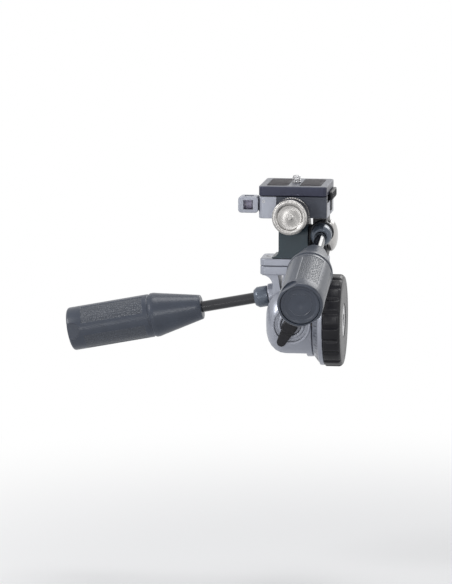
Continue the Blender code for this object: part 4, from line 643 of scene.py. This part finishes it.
def rounded_bars(name, low, high, roundness, segments=2, count=1, step=(0, 0, 0)):
    """A bar with rounded edges between two corners, and a row of them, each a step further on."""
    bar = box(name, low, high)
    round_off = bar.modifiers.new("round", "BEVEL")
    round_off.width = roundness * MM
    round_off.segments = segments
    bpy.ops.object.modifier_apply(modifier="round")
    if count > 1:
        row = bar.modifiers.new("row", "ARRAY")
        row.count = count
        row.use_relative_offset = False
        row.use_constant_offset = True
        row.constant_offset_displace = [value * MM for value in step]
        bpy.ops.object.modifier_apply(modifier="row")
    return bar


# %% [markdown]
# ## Grips
# A grip is moulded in two halves, so a seam runs along it on two sides. Beside the seam it
# is smooth, and between the smooth bands it has four sunk panels with a rougher face. At
# the outer end a flat notch for the thumb is cut on each seam. The panels could be painted
# on, but they are inset into the mesh, so that their rims catch the light. Heights count
# from the root of the rod.

# %% Write the grip's details
GRIP_RADIUS = 15.7
PANEL = (90.5, 138.0)
PANEL_TURN = (14.0, 76.0)
PANEL_ABOVE = 15.0
PANEL_BORDER = 0.35
PANEL_WALL = 0.30
PANEL_SUNK = 0.22
NOTCH_RADIUS = 6.1
NOTCH_FLOOR = 14.2
NOTCH_MIDDLE = 145.3
NOTCH_RUN = 6.0
NOTCH_SEGMENTS = 48
NOTCH_MIDLINE = -0.01
SEAM_LOW = (-0.22, -0.3, 88.8)
SEAM_HIGH = (0.22, 0.09, 138.6)
SEAM_ROUND = 0.06


def grip_panels(grip, seam_turn):
    """Sinks four panels into a grip and gives them the rougher face."""
    grip.data.materials.append(FINISHES["grip_rubber"])
    grip.data.materials.append(stippled)
    only(grip)
    bpy.ops.object.mode_set(mode="EDIT")
    bpy.ops.mesh.select_mode(type="FACE")
    bpy.ops.mesh.select_all(action="DESELECT")
    bpy.ops.object.mode_set(mode="OBJECT")
    for quarter in range(4):
        for face in grip.data.polygons:
            spot = face.center / MM
            turned_by = math.degrees(math.atan2(spot.y, spot.x) - seam_turn) - 90 * quarter
            beside_seam = PANEL_TURN[0] < turned_by % 360 < PANEL_TURN[1]
            outside = math.hypot(spot.x, spot.y) > PANEL_ABOVE
            face.select = beside_seam and outside and PANEL[0] < spot.z < PANEL[1]
        bpy.ops.object.mode_set(mode="EDIT")
        bpy.ops.mesh.inset(thickness=PANEL_BORDER * MM, depth=0)
        bpy.ops.mesh.inset(thickness=PANEL_WALL * MM, depth=-PANEL_SUNK * MM)
        grip.active_material_index = 1
        bpy.ops.object.material_slot_assign()
        bpy.ops.mesh.select_all(action="DESELECT")
        bpy.ops.object.mode_set(mode="OBJECT")
    bpy.ops.object.mode_set(mode="EDIT")
    bpy.ops.mesh.select_mode(type="VERT")
    bpy.ops.object.mode_set(mode="OBJECT")


def thumb_notch(grip, across):
    """Cuts the flat notch, round at its inner end and run out past the end of the grip."""
    cutter = turn("notch_cutter", [(0, NOTCH_RADIUS), (NOTCH_RUN, NOTCH_RADIUS)], NOTCH_SEGMENTS)
    for vertex in cutter.data.vertices:
        if vertex.co.y > NOTCH_MIDLINE * MM:
            vertex.co.y += NOTCH_RUN * MM
    stand(cutter, Vector((0, 0, NOTCH_MIDDLE)) + across * NOTCH_FLOOR, across)
    cut(grip, cutter)


def seam_ridge(grip, across):
    """Puts the fine ridge of the mould's seam on a grip."""
    ridge = rounded_bars("grip_seam", SEAM_LOW, SEAM_HIGH, SEAM_ROUND)
    turned_by = math.atan2(across.y, across.x) - math.pi / 2
    settle(ridge, Matrix.Rotation(turned_by, 4, "Z") @ Matrix.Translation((0, GRIP_RADIUS * MM, 0)))
    ridge.data.materials.append(FINISHES["grip_rubber"])
    join(grip, ridge)


# %% [markdown]
# ## Handles
# Each handle is a gloss black rod with a moulded grip. The rod screws into the joint that it
# locks, a tapered ring covers its thread, and a dished cap closes the bore of the grip. The
# two handles are the same but for their place and their screw, so a loop makes both. A
# handle is its name, its root, where it points, where its seam faces, and the length and
# radius of its screw.

# %% Turn the handles
TILT_DROP = math.radians(10.8)
FLIP_DROP = math.radians(12)
HANDLES = [
    ("tilt_handle", (-54.0, 0, 17.2), (-math.cos(TILT_DROP), 0, -math.sin(TILT_DROP)),
     (0, -1, 0), 15.0, 2.9),
    ("flip_handle", (-14.7, -13.6, 65.3), (0, -math.cos(FLIP_DROP), -math.sin(FLIP_DROP)),
     (-0.5, 0, 0.86), 7.5, 2.4),
]
GRIP_STATIONS = [
    (80.2, 4.3), (49.9, 4.3), (49.9, 8.1), (50.05, 8.5), (50.4, 8.8), (54.0, 9.6), (66.0, 12.2),
    (79.0, 14.97), (80.6, 15.32), (82.0, 15.66), (83.2, 15.92), (83.9, 16.0), (85.7, 16.0), (86.0, 15.9),
    (86.25, 15.5), (86.4, 15.3), (87.5, 15.3), (87.7, 15.45), (87.9, 15.62), (88.3, GRIP_RADIUS),
    (91.0, GRIP_RADIUS), (137.5, GRIP_RADIUS), (146.2, GRIP_RADIUS), (146.9, 15.52), (147.5, 15.14),
    (147.92, 14.55), (148.1, 14.1), (148.05, 13.8), (147.9, 13.7), (143.8, 13.7),
]
CAP_STATIONS = [
    (144.1, 13.2), (144.3, 13.4), (147.0, 13.4), (147.25, 13.25), (147.3, 13.0), (147.3, 12.3), (147.2, 12.0),
    (146.5, 11.2), (146.3, 10.9), (146.3, 8.3), (146.5, 8.1), (146.5, 7.8), (146.3, 7.6), (146.3, 2.0),
    (146.1, 1.6), (146.05, 0.5),
]
FERRULE_STATIONS = [
    (0.5, 4.3), (0.5, 7.1), (0.7, 7.4), (1.0, 7.5), (7.8, 7.5), (8.2, 7.42), (10.3, 6.0), (10.6, 5.75),
    (10.7, 5.5), (10.7, 4.3), (0.5, 4.3),
]
ROD_STATIONS = [(0.5, 3.9), (0.6, 4.0), (79.8, 4.0), (79.9, 3.9)]
ROD_CHAMFER = 0.5

for title, root, out, seam, screw_length, screw_radius in HANDLES:
    across = aim((0, 0, 0), out).inverted().to_3x3() @ Vector(seam)
    across = Vector((across.x, across.y, 0)).normalized()
    grip = turn(title + "_moulded_grip", GRIP_STATIONS, segments=96)
    grip_panels(grip, math.atan2(across.y, across.x))
    for side in (across, -across):
        thumb_notch(grip, side)
    for side in (across, -across):
        seam_ridge(grip, side)
    stand(grip, root, out)
    hand_over(grip, title, "grip_rubber", [title + "_grip"], "kept")
    cap = stand(turn(title + "_dished_cap", CAP_STATIONS, segments=72), root, out)
    hand_over(cap, title, "grip_rubber", [title + "_cap"])
    screw_stations = [(-screw_length, screw_radius - ROD_CHAMFER),
                      (-screw_length + ROD_CHAMFER, screw_radius), (ROD_STATIONS[0][0], screw_radius)]
    rod = stand(turn(title + "_gloss_rod", screw_stations + ROD_STATIONS, segments=48), root, out)
    hand_over(rod, title, "black_rod", [title + "_rod"])
    ferrule = stand(turn(title + "_tapered_ring", FERRULE_STATIONS, closed=True), root, out)
    hand_over(ferrule, title, "silver_paint", [title + "_ferrule"], ferrule_coat)

# %% [markdown]
# ## Base disc
# The base disc is moulded with twenty lobes for the fingers that screw the head onto its
# tripod. Twenty cuts could make the grooves between them. Here the disc is turned round
# with many segments, and the points near each groove are moved in along a smooth step,
# which keeps the mesh even.

# %% Turn the base disc
LOBES = 20
GROOVE_DEPTH = 1.2
GROOVE_HALF_WIDTH = 0.22
BASE_RADIUS = 33.2
BASE_STATIONS = [
    (0, 6.8), (0, 32.2), (0.2, 32.7), (0.5, 33.05), (0.9, BASE_RADIUS), (5.6, BASE_RADIUS),
    (10.0, BASE_RADIUS), (10.9, 32.95), (11.8, 32.2), (12.4, 31.5), (12.6, 30.9), (12.6, 27.2),
    (12.45, 27.0), (12.45, 26.6), (12.6, 26.4), (12.6, 14.0), (12.6, 12.4), (12.5, 12.3), (8.1, 12.3),
    (8.1, 6.8), (0, 6.8),
]
BASE_BACK = (-12.6, 0, 0)

base = turn("lobed_base", BASE_STATIONS, segments=360, closed=True)
for vertex in base.data.vertices:
    radius = math.hypot(vertex.co.x, vertex.co.y)
    share = math.atan2(vertex.co.x, vertex.co.y) / (2 * math.pi) * LOBES % 1.0
    near = max(0.0, 1 - min(share, 1 - share) / GROOVE_HALF_WIDTH)
    limit = (BASE_RADIUS - GROOVE_DEPTH * near * near * (3 - 2 * near)) * MM
    if radius > limit:
        vertex.co.x *= limit / radius
        vertex.co.y *= limit / radius
stand(base, BASE_BACK, (1, 0, 0))
hand_over(base, "base", "black_plastic", ["base_disc"])

# %% [markdown]
# ## Pan scale
# Next to the base sits a silver ring whose cone carries the pan scale. It could be cut from
# the same piece as the base, but it has a colour of its own. It is turned as the base is,
# with a profile that ends where it starts, because both are open in the middle.

# %% Turn the scale ring
RING_START = -20.5
CONE_FOOT = (0.15, 26.5)
CONE_TOP = (4.35, 31.35)
RING_STATIONS = [
    (0, 20.5), (0, 26.3), CONE_FOOT, CONE_TOP, (4.4, 31.5), (4.4, 32.0), (4.5, 32.25), (4.7, 32.4),
    (7.2, 32.4), (7.45, 32.3), (7.6, 32.1), (7.6, 20.5), (0, 20.5),
]

ring = turn("pan_scale", RING_STATIONS, segments=180, closed=True)
stand(ring, (RING_START, 0, 0), (1, 0, 0))
hand_over(ring, "base", "silver_paint", ["pan_scale_ring"])

# %% [markdown]
# ## Marks of the scale
# The cone has a fine mark every five degrees and a longer one every fifteen, and a short
# line on the housing reads against them. On the real ring they are printed. A picture could
# show them, but each mark here is a thin inlay: one bar is modelled, laid on the cone and
# spun off all the way round, so the marks stay sharp close up.

# %% Lay the marks
CONE_SLOPE = math.atan2(CONE_TOP[1] - CONE_FOOT[1], CONE_TOP[0] - CONE_FOOT[0])
MARK_ROOM = 4.6
MARK_SUNK = 0.10
MARK_PROUD = 0.06
MARK_ROUND = 0.03
POINTER_LOW = (-1.4, -0.3, -0.15)
POINTER_HIGH = (1.4, 0.3, 0.06)
POINTER_ROUND = 0.05
POINTER_PLACE = (-23.2, 0, 26.4)
POINTER_TURN = math.radians(40)


def scale_marks(name, length, width, count):
    """Thin bars on the cone, all ending at its wide end. The first is a box, the rest are spun."""
    middle = (CONE_FOOT[0] + CONE_TOP[0]) / 2 + (MARK_ROOM - length) / 2 * math.cos(CONE_SLOPE)
    share = (middle - CONE_FOOT[0]) / (CONE_TOP[0] - CONE_FOOT[0])
    radius = CONE_FOOT[1] + share * (CONE_TOP[1] - CONE_FOOT[1])
    low = (-length / 2, -width / 2, -MARK_SUNK)
    bar = rounded_bars(name, low, (length / 2, width / 2, MARK_PROUD), MARK_ROUND, segments=1)
    on_cone = Matrix.Translation(Vector((RING_START + middle, 0, radius)) * MM)
    settle(bar, on_cone @ Matrix.Rotation(-CONE_SLOPE, 4, "Y"))
    gap_angle = 2 * math.pi / count
    bpy.ops.object.mode_set(mode="EDIT")
    pick_all()
    bpy.ops.mesh.spin(steps=count - 1, dupli=True, angle=gap_angle * (count - 1), center=(0, 0, 0),
                      axis=(1, 0, 0))
    bpy.ops.object.mode_set(mode="OBJECT")
    return bar


fine_marks = scale_marks("scale_marks", length=2.2, width=0.30, count=72)
long_marks = scale_marks("scale_long_marks", length=3.9, width=0.42, count=24)
join(fine_marks, long_marks)
hand_over(fine_marks, "base", "silver_paint", (), mark_finish)

pointer = rounded_bars("pan_pointer", POINTER_LOW, POINTER_HIGH, POINTER_ROUND)
settle(pointer, Matrix.Rotation(POINTER_TURN, 4, "X") @ Matrix.Translation(Vector(POINTER_PLACE) * MM))
hand_over(pointer, "pan_head", "silver_paint", (), mark_finish)

# %% [markdown]
# ## Clamp knob
# The knob that closes the clamp is turned from bar. The lathe leaves rings on its face and
# a rim around it, and the side is fluted so that fingers hold it. The flutes could be cut
# one by one. Here every second column of points on the side is moved in, which gives the
# same flutes with few faces.

# %% Turn the clamp knob
KNOB_X = -34.6
KNOB_Z = 79.6
KNOB_ROOT = (KNOB_X, -26.3, KNOB_Z)
FLUTES = 48
FLUTE_SHARE = 0.95
FLUTE_ENDS = (4.4, 18.4)
FLUTED_OUTSIDE = 12.4
KNOB_STATIONS = [
    (0, 5.5), (3.0, 5.5), (3.0, 11.5), (3.2, 12.0), (3.8, 12.5), (4.3, 12.5), (4.8, 12.5), (18.0, 12.5),
    (18.5, 12.5), (19.0, 12.5), (19.35, 12.4), (19.65, 12.1), (19.8, 11.7), (19.8, 9.8), (19.7, 9.5),
    (19.4, 9.2), (18.5, 8.8), (18.25, 8.5), (18.2, 8.1), (18.2, 2.2), (18.3, 1.9), (18.5, 1.6), (18.5, 0.6),
]

# The rings on the knob's face carry painted shade in their grooves.
knob_finish = surface("faced_knob", (0.40, 0.39, 0.38), 0.27, 1.0, grain=2600, depth=0.004,
                      turned=("Y", (KNOB_X, 0, KNOB_Z), 1.7), brushed=0.7, tone=0.05, spread=0.015, bevel=0.3)
knob = turn("turned_knob", KNOB_STATIONS, 2 * FLUTES)
for vertex in knob.data.vertices:
    column = round(math.atan2(vertex.co.y, vertex.co.x) / math.pi * FLUTES)
    outside = math.hypot(vertex.co.x, vertex.co.y) > FLUTED_OUTSIDE * MM
    if column % 2 and outside and FLUTE_ENDS[0] < vertex.co.z / MM < FLUTE_ENDS[1]:
        vertex.co.x *= FLUTE_SHARE
        vertex.co.y *= FLUTE_SHARE
stand(knob, KNOB_ROOT, (0, -1, 0))
hand_over(knob, "jaw_knob", "turned_aluminium", ["clamp_knob"], knob_finish)

# %% [markdown]
# ## Round caps
# A polished dome closes the right end of the side axle. Its profile is a quarter of an
# ellipse, worked out from its rise and its radius, because a list of points by hand would
# show flats in the gloss. The lock collar in front of the housing and the axle cover
# behind it are plain turned rings on one axis.

# %% Turn the round caps
DOME_RISE = 5.2
DOME_RADIUS = 11.3
DOME_RIM = 1.0
DOME_STEPS = 14
POLE_GAP = 0.05
HEAD_X = -35.5
CHEEK_Y = 25.7
COLLAR_STATIONS = [
    (0, 7.0), (0, 9.7), (1.1, 9.7), (1.35, 9.62), (1.6, 9.4), (1.75, 9.1), (1.8, 8.7), (1.8, 7.7), (1.7, 7.4),
    (1.45, 7.15), (1.1, 7.0), (0, 7.0),
]
COVER_STATIONS = [(0, 11.9), (1.3, 11.9), (1.9, 11.3), (1.9, 7.3), (1.4, 6.8), (1.4, 0.8)]

dome_stations = [(0, 10.9), (0.15, 11.25), (0.3, DOME_RADIUS), (DOME_RIM, DOME_RADIUS)]
for step in range(1, DOME_STEPS + 1):
    lean = step / DOME_STEPS * (math.pi / 2 - POLE_GAP)
    dome_stations.append((DOME_RIM + DOME_RISE * math.sin(lean), DOME_RADIUS * math.cos(lean)))
dome = stand(turn("polished_dome", dome_stations, segments=96), SIDE_AXLE_END, (1, 0, 0))
hand_over(dome, "tilt_head", "turned_aluminium", ["flip_cap"])
collar = turn("lock_collar", COLLAR_STATIONS, segments=72, closed=True)
stand(collar, (HEAD_X, -CHEEK_Y, 0), (0, -1, 0))
hand_over(collar, "pan_head", "silver_paint", ["pan_lock_collar"])
cover = stand(turn("pressed_cover", COVER_STATIONS, segments=72), (HEAD_X, CHEEK_Y, 0), (0, 1, 0))
hand_over(cover, "pan_head", "black_plastic", ["axle_cover"])

# %% [markdown]
# ## Threads
# A thread is a ridge that climbs one pitch in each turn. Stacked rings would look alike
# from afar, but the Screw modifier winds a true one from a triangle. The camera screw has
# the quarter-inch thread of still cameras and a slot for a coin, and the socket in the base
# takes the three-eighths stud of a tripod.

# %% Cut the threads
CAMERA_PITCH = 1.27
SOCKET_PITCH = 1.5875
RIDGE_HALF_WIDTH = 0.40
SCREW_AXIS = (KNOB_X, 0, 0)
SOCKET_BOTTOM = (-11.4, 0, 0)
COIN_SLOT = ((-0.7, -8, 87), (0.7, 8, 89.0))
SCREW_STATIONS = [
    (87.6, 5.9), (87.75, 6.6), (88.1, 7.0), (90.1, 7.0), (90.4, 6.7), (90.4, 2.4), (93.5, 2.4), (93.7, 2.75),
    (103.9, 2.75), (104.6, 2.1),
]


def thread(name, root, crest, pitch, start, turns, steps):
    """A ridge wound around Z from a triangle. Root, crest, pitch and start are in mm."""
    bpy.ops.object.select_all(action="DESELECT")
    bpy.ops.mesh.primitive_circle_add(vertices=3, radius=MM, location=(0, 0, 0))
    ridge = bpy.context.object
    ridge.name = name
    half = pitch * RIDGE_HALF_WIDTH
    for vertex, (x, z) in zip(ridge.data.vertices, ((crest, 0), (root, half), (root, -half))):
        vertex.co = (x * MM, 0, (z + start) * MM)
    wind = ridge.modifiers.new("wind", "SCREW")
    wind.axis = "Z"
    wind.screw_offset = pitch * MM
    wind.iterations = turns
    wind.steps = steps
    wind.render_steps = steps
    bpy.ops.object.modifier_apply(modifier="wind")
    bpy.ops.object.mode_set(mode="EDIT")
    pick_all()
    bpy.ops.mesh.fill_holes(sides=0)
    bpy.ops.mesh.normals_make_consistent(inside=False)
    bpy.ops.object.mode_set(mode="OBJECT")
    return ridge


camera_screw = turn("quarter_inch_screw", SCREW_STATIONS)
cut(camera_screw, box("coin_slot", *COIN_SLOT))
ridge = thread("screw_thread", root=2.6, crest=3.15, pitch=CAMERA_PITCH, start=94.4, turns=7, steps=32)
join(camera_screw, ridge)
stand(camera_screw, SCREW_AXIS, (0, 0, 1))
hand_over(camera_screw, "plate_screw", "steel", ["camera_screw"])

ridge = thread("socket_thread", root=4.95, crest=4.25, pitch=SOCKET_PITCH, start=0.9, turns=6, steps=48)
hand_over(stand(ridge, SOCKET_BOTTOM, (1, 0, 0)), "base", "steel")

# %% [markdown]
# ## Small screws
# Two cap screws hold the band on top of the arm, and three set screws sit around the socket
# in the base. Each has a hexagon sunk into its head for a key. A dark dot could stand for
# it, but a cut with a six-sided prism shows its walls from any side. A kind of screw is its
# length, its radius, and its head's radius and depth.

# %% Turn the small screws
CAP_SCREW = (9.6, 1.6, 2.8, 1.6)
SET_SCREW = (6.5, 1.5, 1.5, 1.0)
SMALL_SCREWS = [
    ("band_cap_screw_1", "tilt_head", "band_screw_1", (-55.1, 0, 45.8), (0, 0, 1), CAP_SCREW),
    ("band_cap_screw_2", "tilt_head", "band_screw_2", (-15.9, 0, 45.8), (0, 0, 1), CAP_SCREW),
    ("base_grub_screw_1", "base", "spindle_set_screw_1", (-0.4, 0, 9.2), (1, 0, 0), SET_SCREW),
    ("base_grub_screw_2", "base", "spindle_set_screw_2", (-0.4, -7.97, -4.6), (1, 0, 0), SET_SCREW),
    ("base_grub_screw_3", "base", "spindle_set_screw_3", (-0.4, 7.97, -4.6), (1, 0, 0), SET_SCREW),
]
CHAMFER = 0.2
HEX_SHARE = 0.55
HEX_DEPTH = 0.9


def sink_hexagon(screw, radius, depth):
    """Cuts the hexagon for a key into the top of a screw that ends at height 0."""
    cut(screw, turn("hex_drive", [(-depth, radius), (1, radius)], segments=6))


for title, body, stands_for, root, out, (length, shank, head, head_depth) in SMALL_SCREWS:
    shank_stations = [(-length, shank - CHAMFER), (-length + CHAMFER, shank)]
    under_head = [(-head_depth, shank), (-head_depth, head)] if head > shank else []
    stations = [*shank_stations, *under_head, (-CHAMFER, head), (0, head - CHAMFER)]
    small = turn(title, stations, segments=32)
    sink_hexagon(small, head * HEX_SHARE, HEX_DEPTH)
    hand_over(stand(small, root, out), body, "steel", [stands_for])

# %% [markdown]
# ## Bubble level
# The level is a sealed acrylic tube with a coloured spirit. Its two lines show where the
# bubble must rest. A real tube has a wall, a filling and a hollow, and light bends at each.
# At this size one cloudy body is enough, with a pale bubble that shows at its top.

# %% Fill the level
VIAL_PLACE = (-66.4, -19.4, 85.9)
VIAL_STATIONS = [(-5.3, 3.6), (-5.1, 3.9), (-4.9, 4.0), (4.9, 4.0), (5.1, 3.9), (5.3, 3.6)]
SPIRIT = (0.52, 0.49, 0.62)
SPIRIT_CLEAR = 0.35
SPIRIT_BENDS = 1.33
BUBBLE_PLACE = (-66.4, -20.6, 88.0)
BUBBLE_HALF_LENGTH = 2.3
BUBBLE_RADIUS = 1.5
BUBBLE_STEPS = 20
BUBBLE_START = -1.5
LINE_GAP = 2.5
LINE_STATIONS = [(-0.2, 3.95), (-0.2, 4.06), (0.2, 4.06), (0.2, 3.95), (-0.2, 3.95)]

spirit_finish = surface("violet_spirit", SPIRIT, 0.06, 0.0, grain=500, depth=0.002, tone=0.10, bevel=0.1)
spirit_shader = spirit_finish.node_tree.nodes["Principled BSDF"]
spirit_shader.inputs["Transmission Weight"].default_value = SPIRIT_CLEAR
spirit_shader.inputs["IOR"].default_value = SPIRIT_BENDS
vial = stand(turn("spirit_tube", VIAL_STATIONS, segments=48), VIAL_PLACE, (1, 0, 0))
hand_over(vial, "camera_clamp", "vial_acrylic", ["level_vial"], spirit_finish)

bubble_leans = [k * math.pi / BUBBLE_STEPS + BUBBLE_START for k in range(BUBBLE_STEPS)]
bubble_stations = [(BUBBLE_HALF_LENGTH * math.sin(a), BUBBLE_RADIUS * math.cos(a)) for a in bubble_leans]
bubble = stand(turn("level_bubble", bubble_stations, segments=32), BUBBLE_PLACE, (1, 0, 0))
bubble_finish = surface("bubble_glint", (0.75, 0.76, 0.80), 0.12, 0.0, depth=0.002)
hand_over(bubble, "camera_clamp", "vial_acrylic", (), bubble_finish)
for number, offset in ((1, -LINE_GAP), (3, LINE_GAP)):
    line = turn("vial_line_%d" % number, LINE_STATIONS, segments=40, closed=True)
    stand(line, Vector(VIAL_PLACE) + Vector((offset, 0, 0)), (1, 0, 0))
    hand_over(line, "camera_clamp", "vial_acrylic", (), mark_finish)

# %% [markdown]
# ## Pads and latch
# The pads on the camera plate are ribbed rubber, so that the camera can't turn on them, and
# the latch has ridges for the thumb that presses it. A bump in the material could draw
# them, but it would vanish at the outline, so each is a row of real bars.

# %% Rib the pads and the latch
PAD_SPANS = ((-53.8, -39.0), (-30.2, -15.4))
PAD_HALF_DEPTH = 20.5
PAD_FOOT = 98.6
PAD_BED = 99.45
PAD_TOP = 99.8
PAD_ROUND = 0.25
RIBS = 13
RIB_START = 0.5
RIB_WIDTH = 0.6
RIB_HALF_LENGTH = 20.2
RIB_SUNK = 0.3
RIB_ROUND = 0.2
RIB_STEP = (1.06, 0, 0)
RIDGE_LOW = (-8.0, -9.4, 89.0)
RIDGE_HIGH = (-7.5, -8.7, 93.2)
RIDGE_ROUND = 0.15
RIDGES = 15
RIDGE_STEP = (0, 1.9, 0)

for number, (left, right) in enumerate(PAD_SPANS, 1):
    pad_low = (left, -PAD_HALF_DEPTH, PAD_FOOT)
    pad = rounded_bars("ribbed_pad_%d" % number, pad_low, (right, PAD_HALF_DEPTH, PAD_BED), PAD_ROUND)
    rib_low = (left + RIB_START, -RIB_HALF_LENGTH, PAD_BED - RIB_SUNK)
    rib_high = (left + RIB_START + RIB_WIDTH, RIB_HALF_LENGTH, PAD_TOP)
    join(pad, rounded_bars("pad_ribs", rib_low, rib_high, RIB_ROUND, count=RIBS, step=RIB_STEP))
    hand_over(pad, "camera_plate", "pad_rubber", ["shoe_pad_%d" % number])

ridges = rounded_bars("latch_ridges", RIDGE_LOW, RIDGE_HIGH, RIDGE_ROUND, count=RIDGES, step=RIDGE_STEP)
hand_over(ridges, "latch", "black_plastic")

# %% [markdown]
# ## Clamp screw
# One more set screw sits in the front of the clamp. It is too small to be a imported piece,
# so it is an addition on the clamp and stands for no node. It is turned as the others are.

# %% Turn the clamp screw
CLAMP_GRUB_STATIONS = [(-2.0, 1.1), (0.0, 1.1), (0.15, 0.95)]
CLAMP_GRUB_PLACE = (-55.2, -26.0, 88.4)

clamp_grub = turn("clamp_grub_screw", CLAMP_GRUB_STATIONS, segments=24)
sink_hexagon(clamp_grub, radius=0.6, depth=0.8)
stand(clamp_grub, CLAMP_GRUB_PLACE, (0, -1, 0))
hand_over(clamp_grub, "camera_clamp", "silver_paint", (), FINISHES["steel"])

# %% [markdown]
# ## Castings
# A cast and painted piece has no sharp edge: the mould is rounded and the paint gathers in
# a soft line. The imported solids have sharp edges. A casting could be modelled anew, but its
# form is right as it is, so it is copied, its flat faces are merged, and its edges are
# bevelled by the width in mm that stands beside its name and body. Weighted normals keep
# the flat faces flat.

# %% Soften the castings
MERGE_ANGLE = math.radians(1.0)
SHARP_ANGLE = math.radians(38)
CASTINGS = [
    ("pan_housing", "pan_head", 0.45), ("tilt_arm", "tilt_head", 0.45), ("neck_flange", "tilt_head", 0.40),
    ("neck", "tilt_head", 0.35), ("flip_bracket", "camera_clamp", 0.40),
    ("clamp_platform", "camera_clamp", 0.35), ("level_housing", "camera_clamp", 0.30),
    ("clamp_jaw", "jaw", 0.35), ("shoe_plate", "camera_plate", 0.30), ("safety_latch", "latch", 0.25),
    ("pan_lock_knob", "pan_lock", 0.50),
]


def free_copy(node_name):
    """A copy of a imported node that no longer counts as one, with its loose triangles merged."""
    only(frame["nodes"][node_name])
    bpy.ops.object.duplicate()
    made = bpy.context.object
    made.name = node_name + "_softened"
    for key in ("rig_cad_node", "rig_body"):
        if key in made:
            del made[key]
    bpy.ops.object.mode_set(mode="EDIT")
    pick_all()
    bpy.ops.mesh.remove_doubles(threshold=MERGE_DISTANCE)
    bpy.ops.mesh.dissolve_limited(angle_limit=MERGE_ANGLE)
    bpy.ops.mesh.normals_make_consistent(inside=False)
    bpy.ops.object.mode_set(mode="OBJECT")
    return made


for node_name, body, width in CASTINGS:
    casting = free_copy(node_name)
    soften = casting.modifiers.new("soften", "BEVEL")
    soften.width = width * MM
    soften.segments = 2
    soften.limit_method = "ANGLE"
    soften.angle_limit = SHARP_ANGLE
    bpy.ops.object.modifier_apply(modifier="soften")
    finish = casting.data.materials[0]
    slot_name = next(name for name, value in FINISHES.items() if value == finish)
    hand_over(casting, body, slot_name, [node_name], finish)
    weigh = casting.modifiers.new("weigh", "WEIGHTED_NORMAL")
    weigh.keep_sharp = True
    bpy.ops.object.modifier_apply(modifier="weigh")
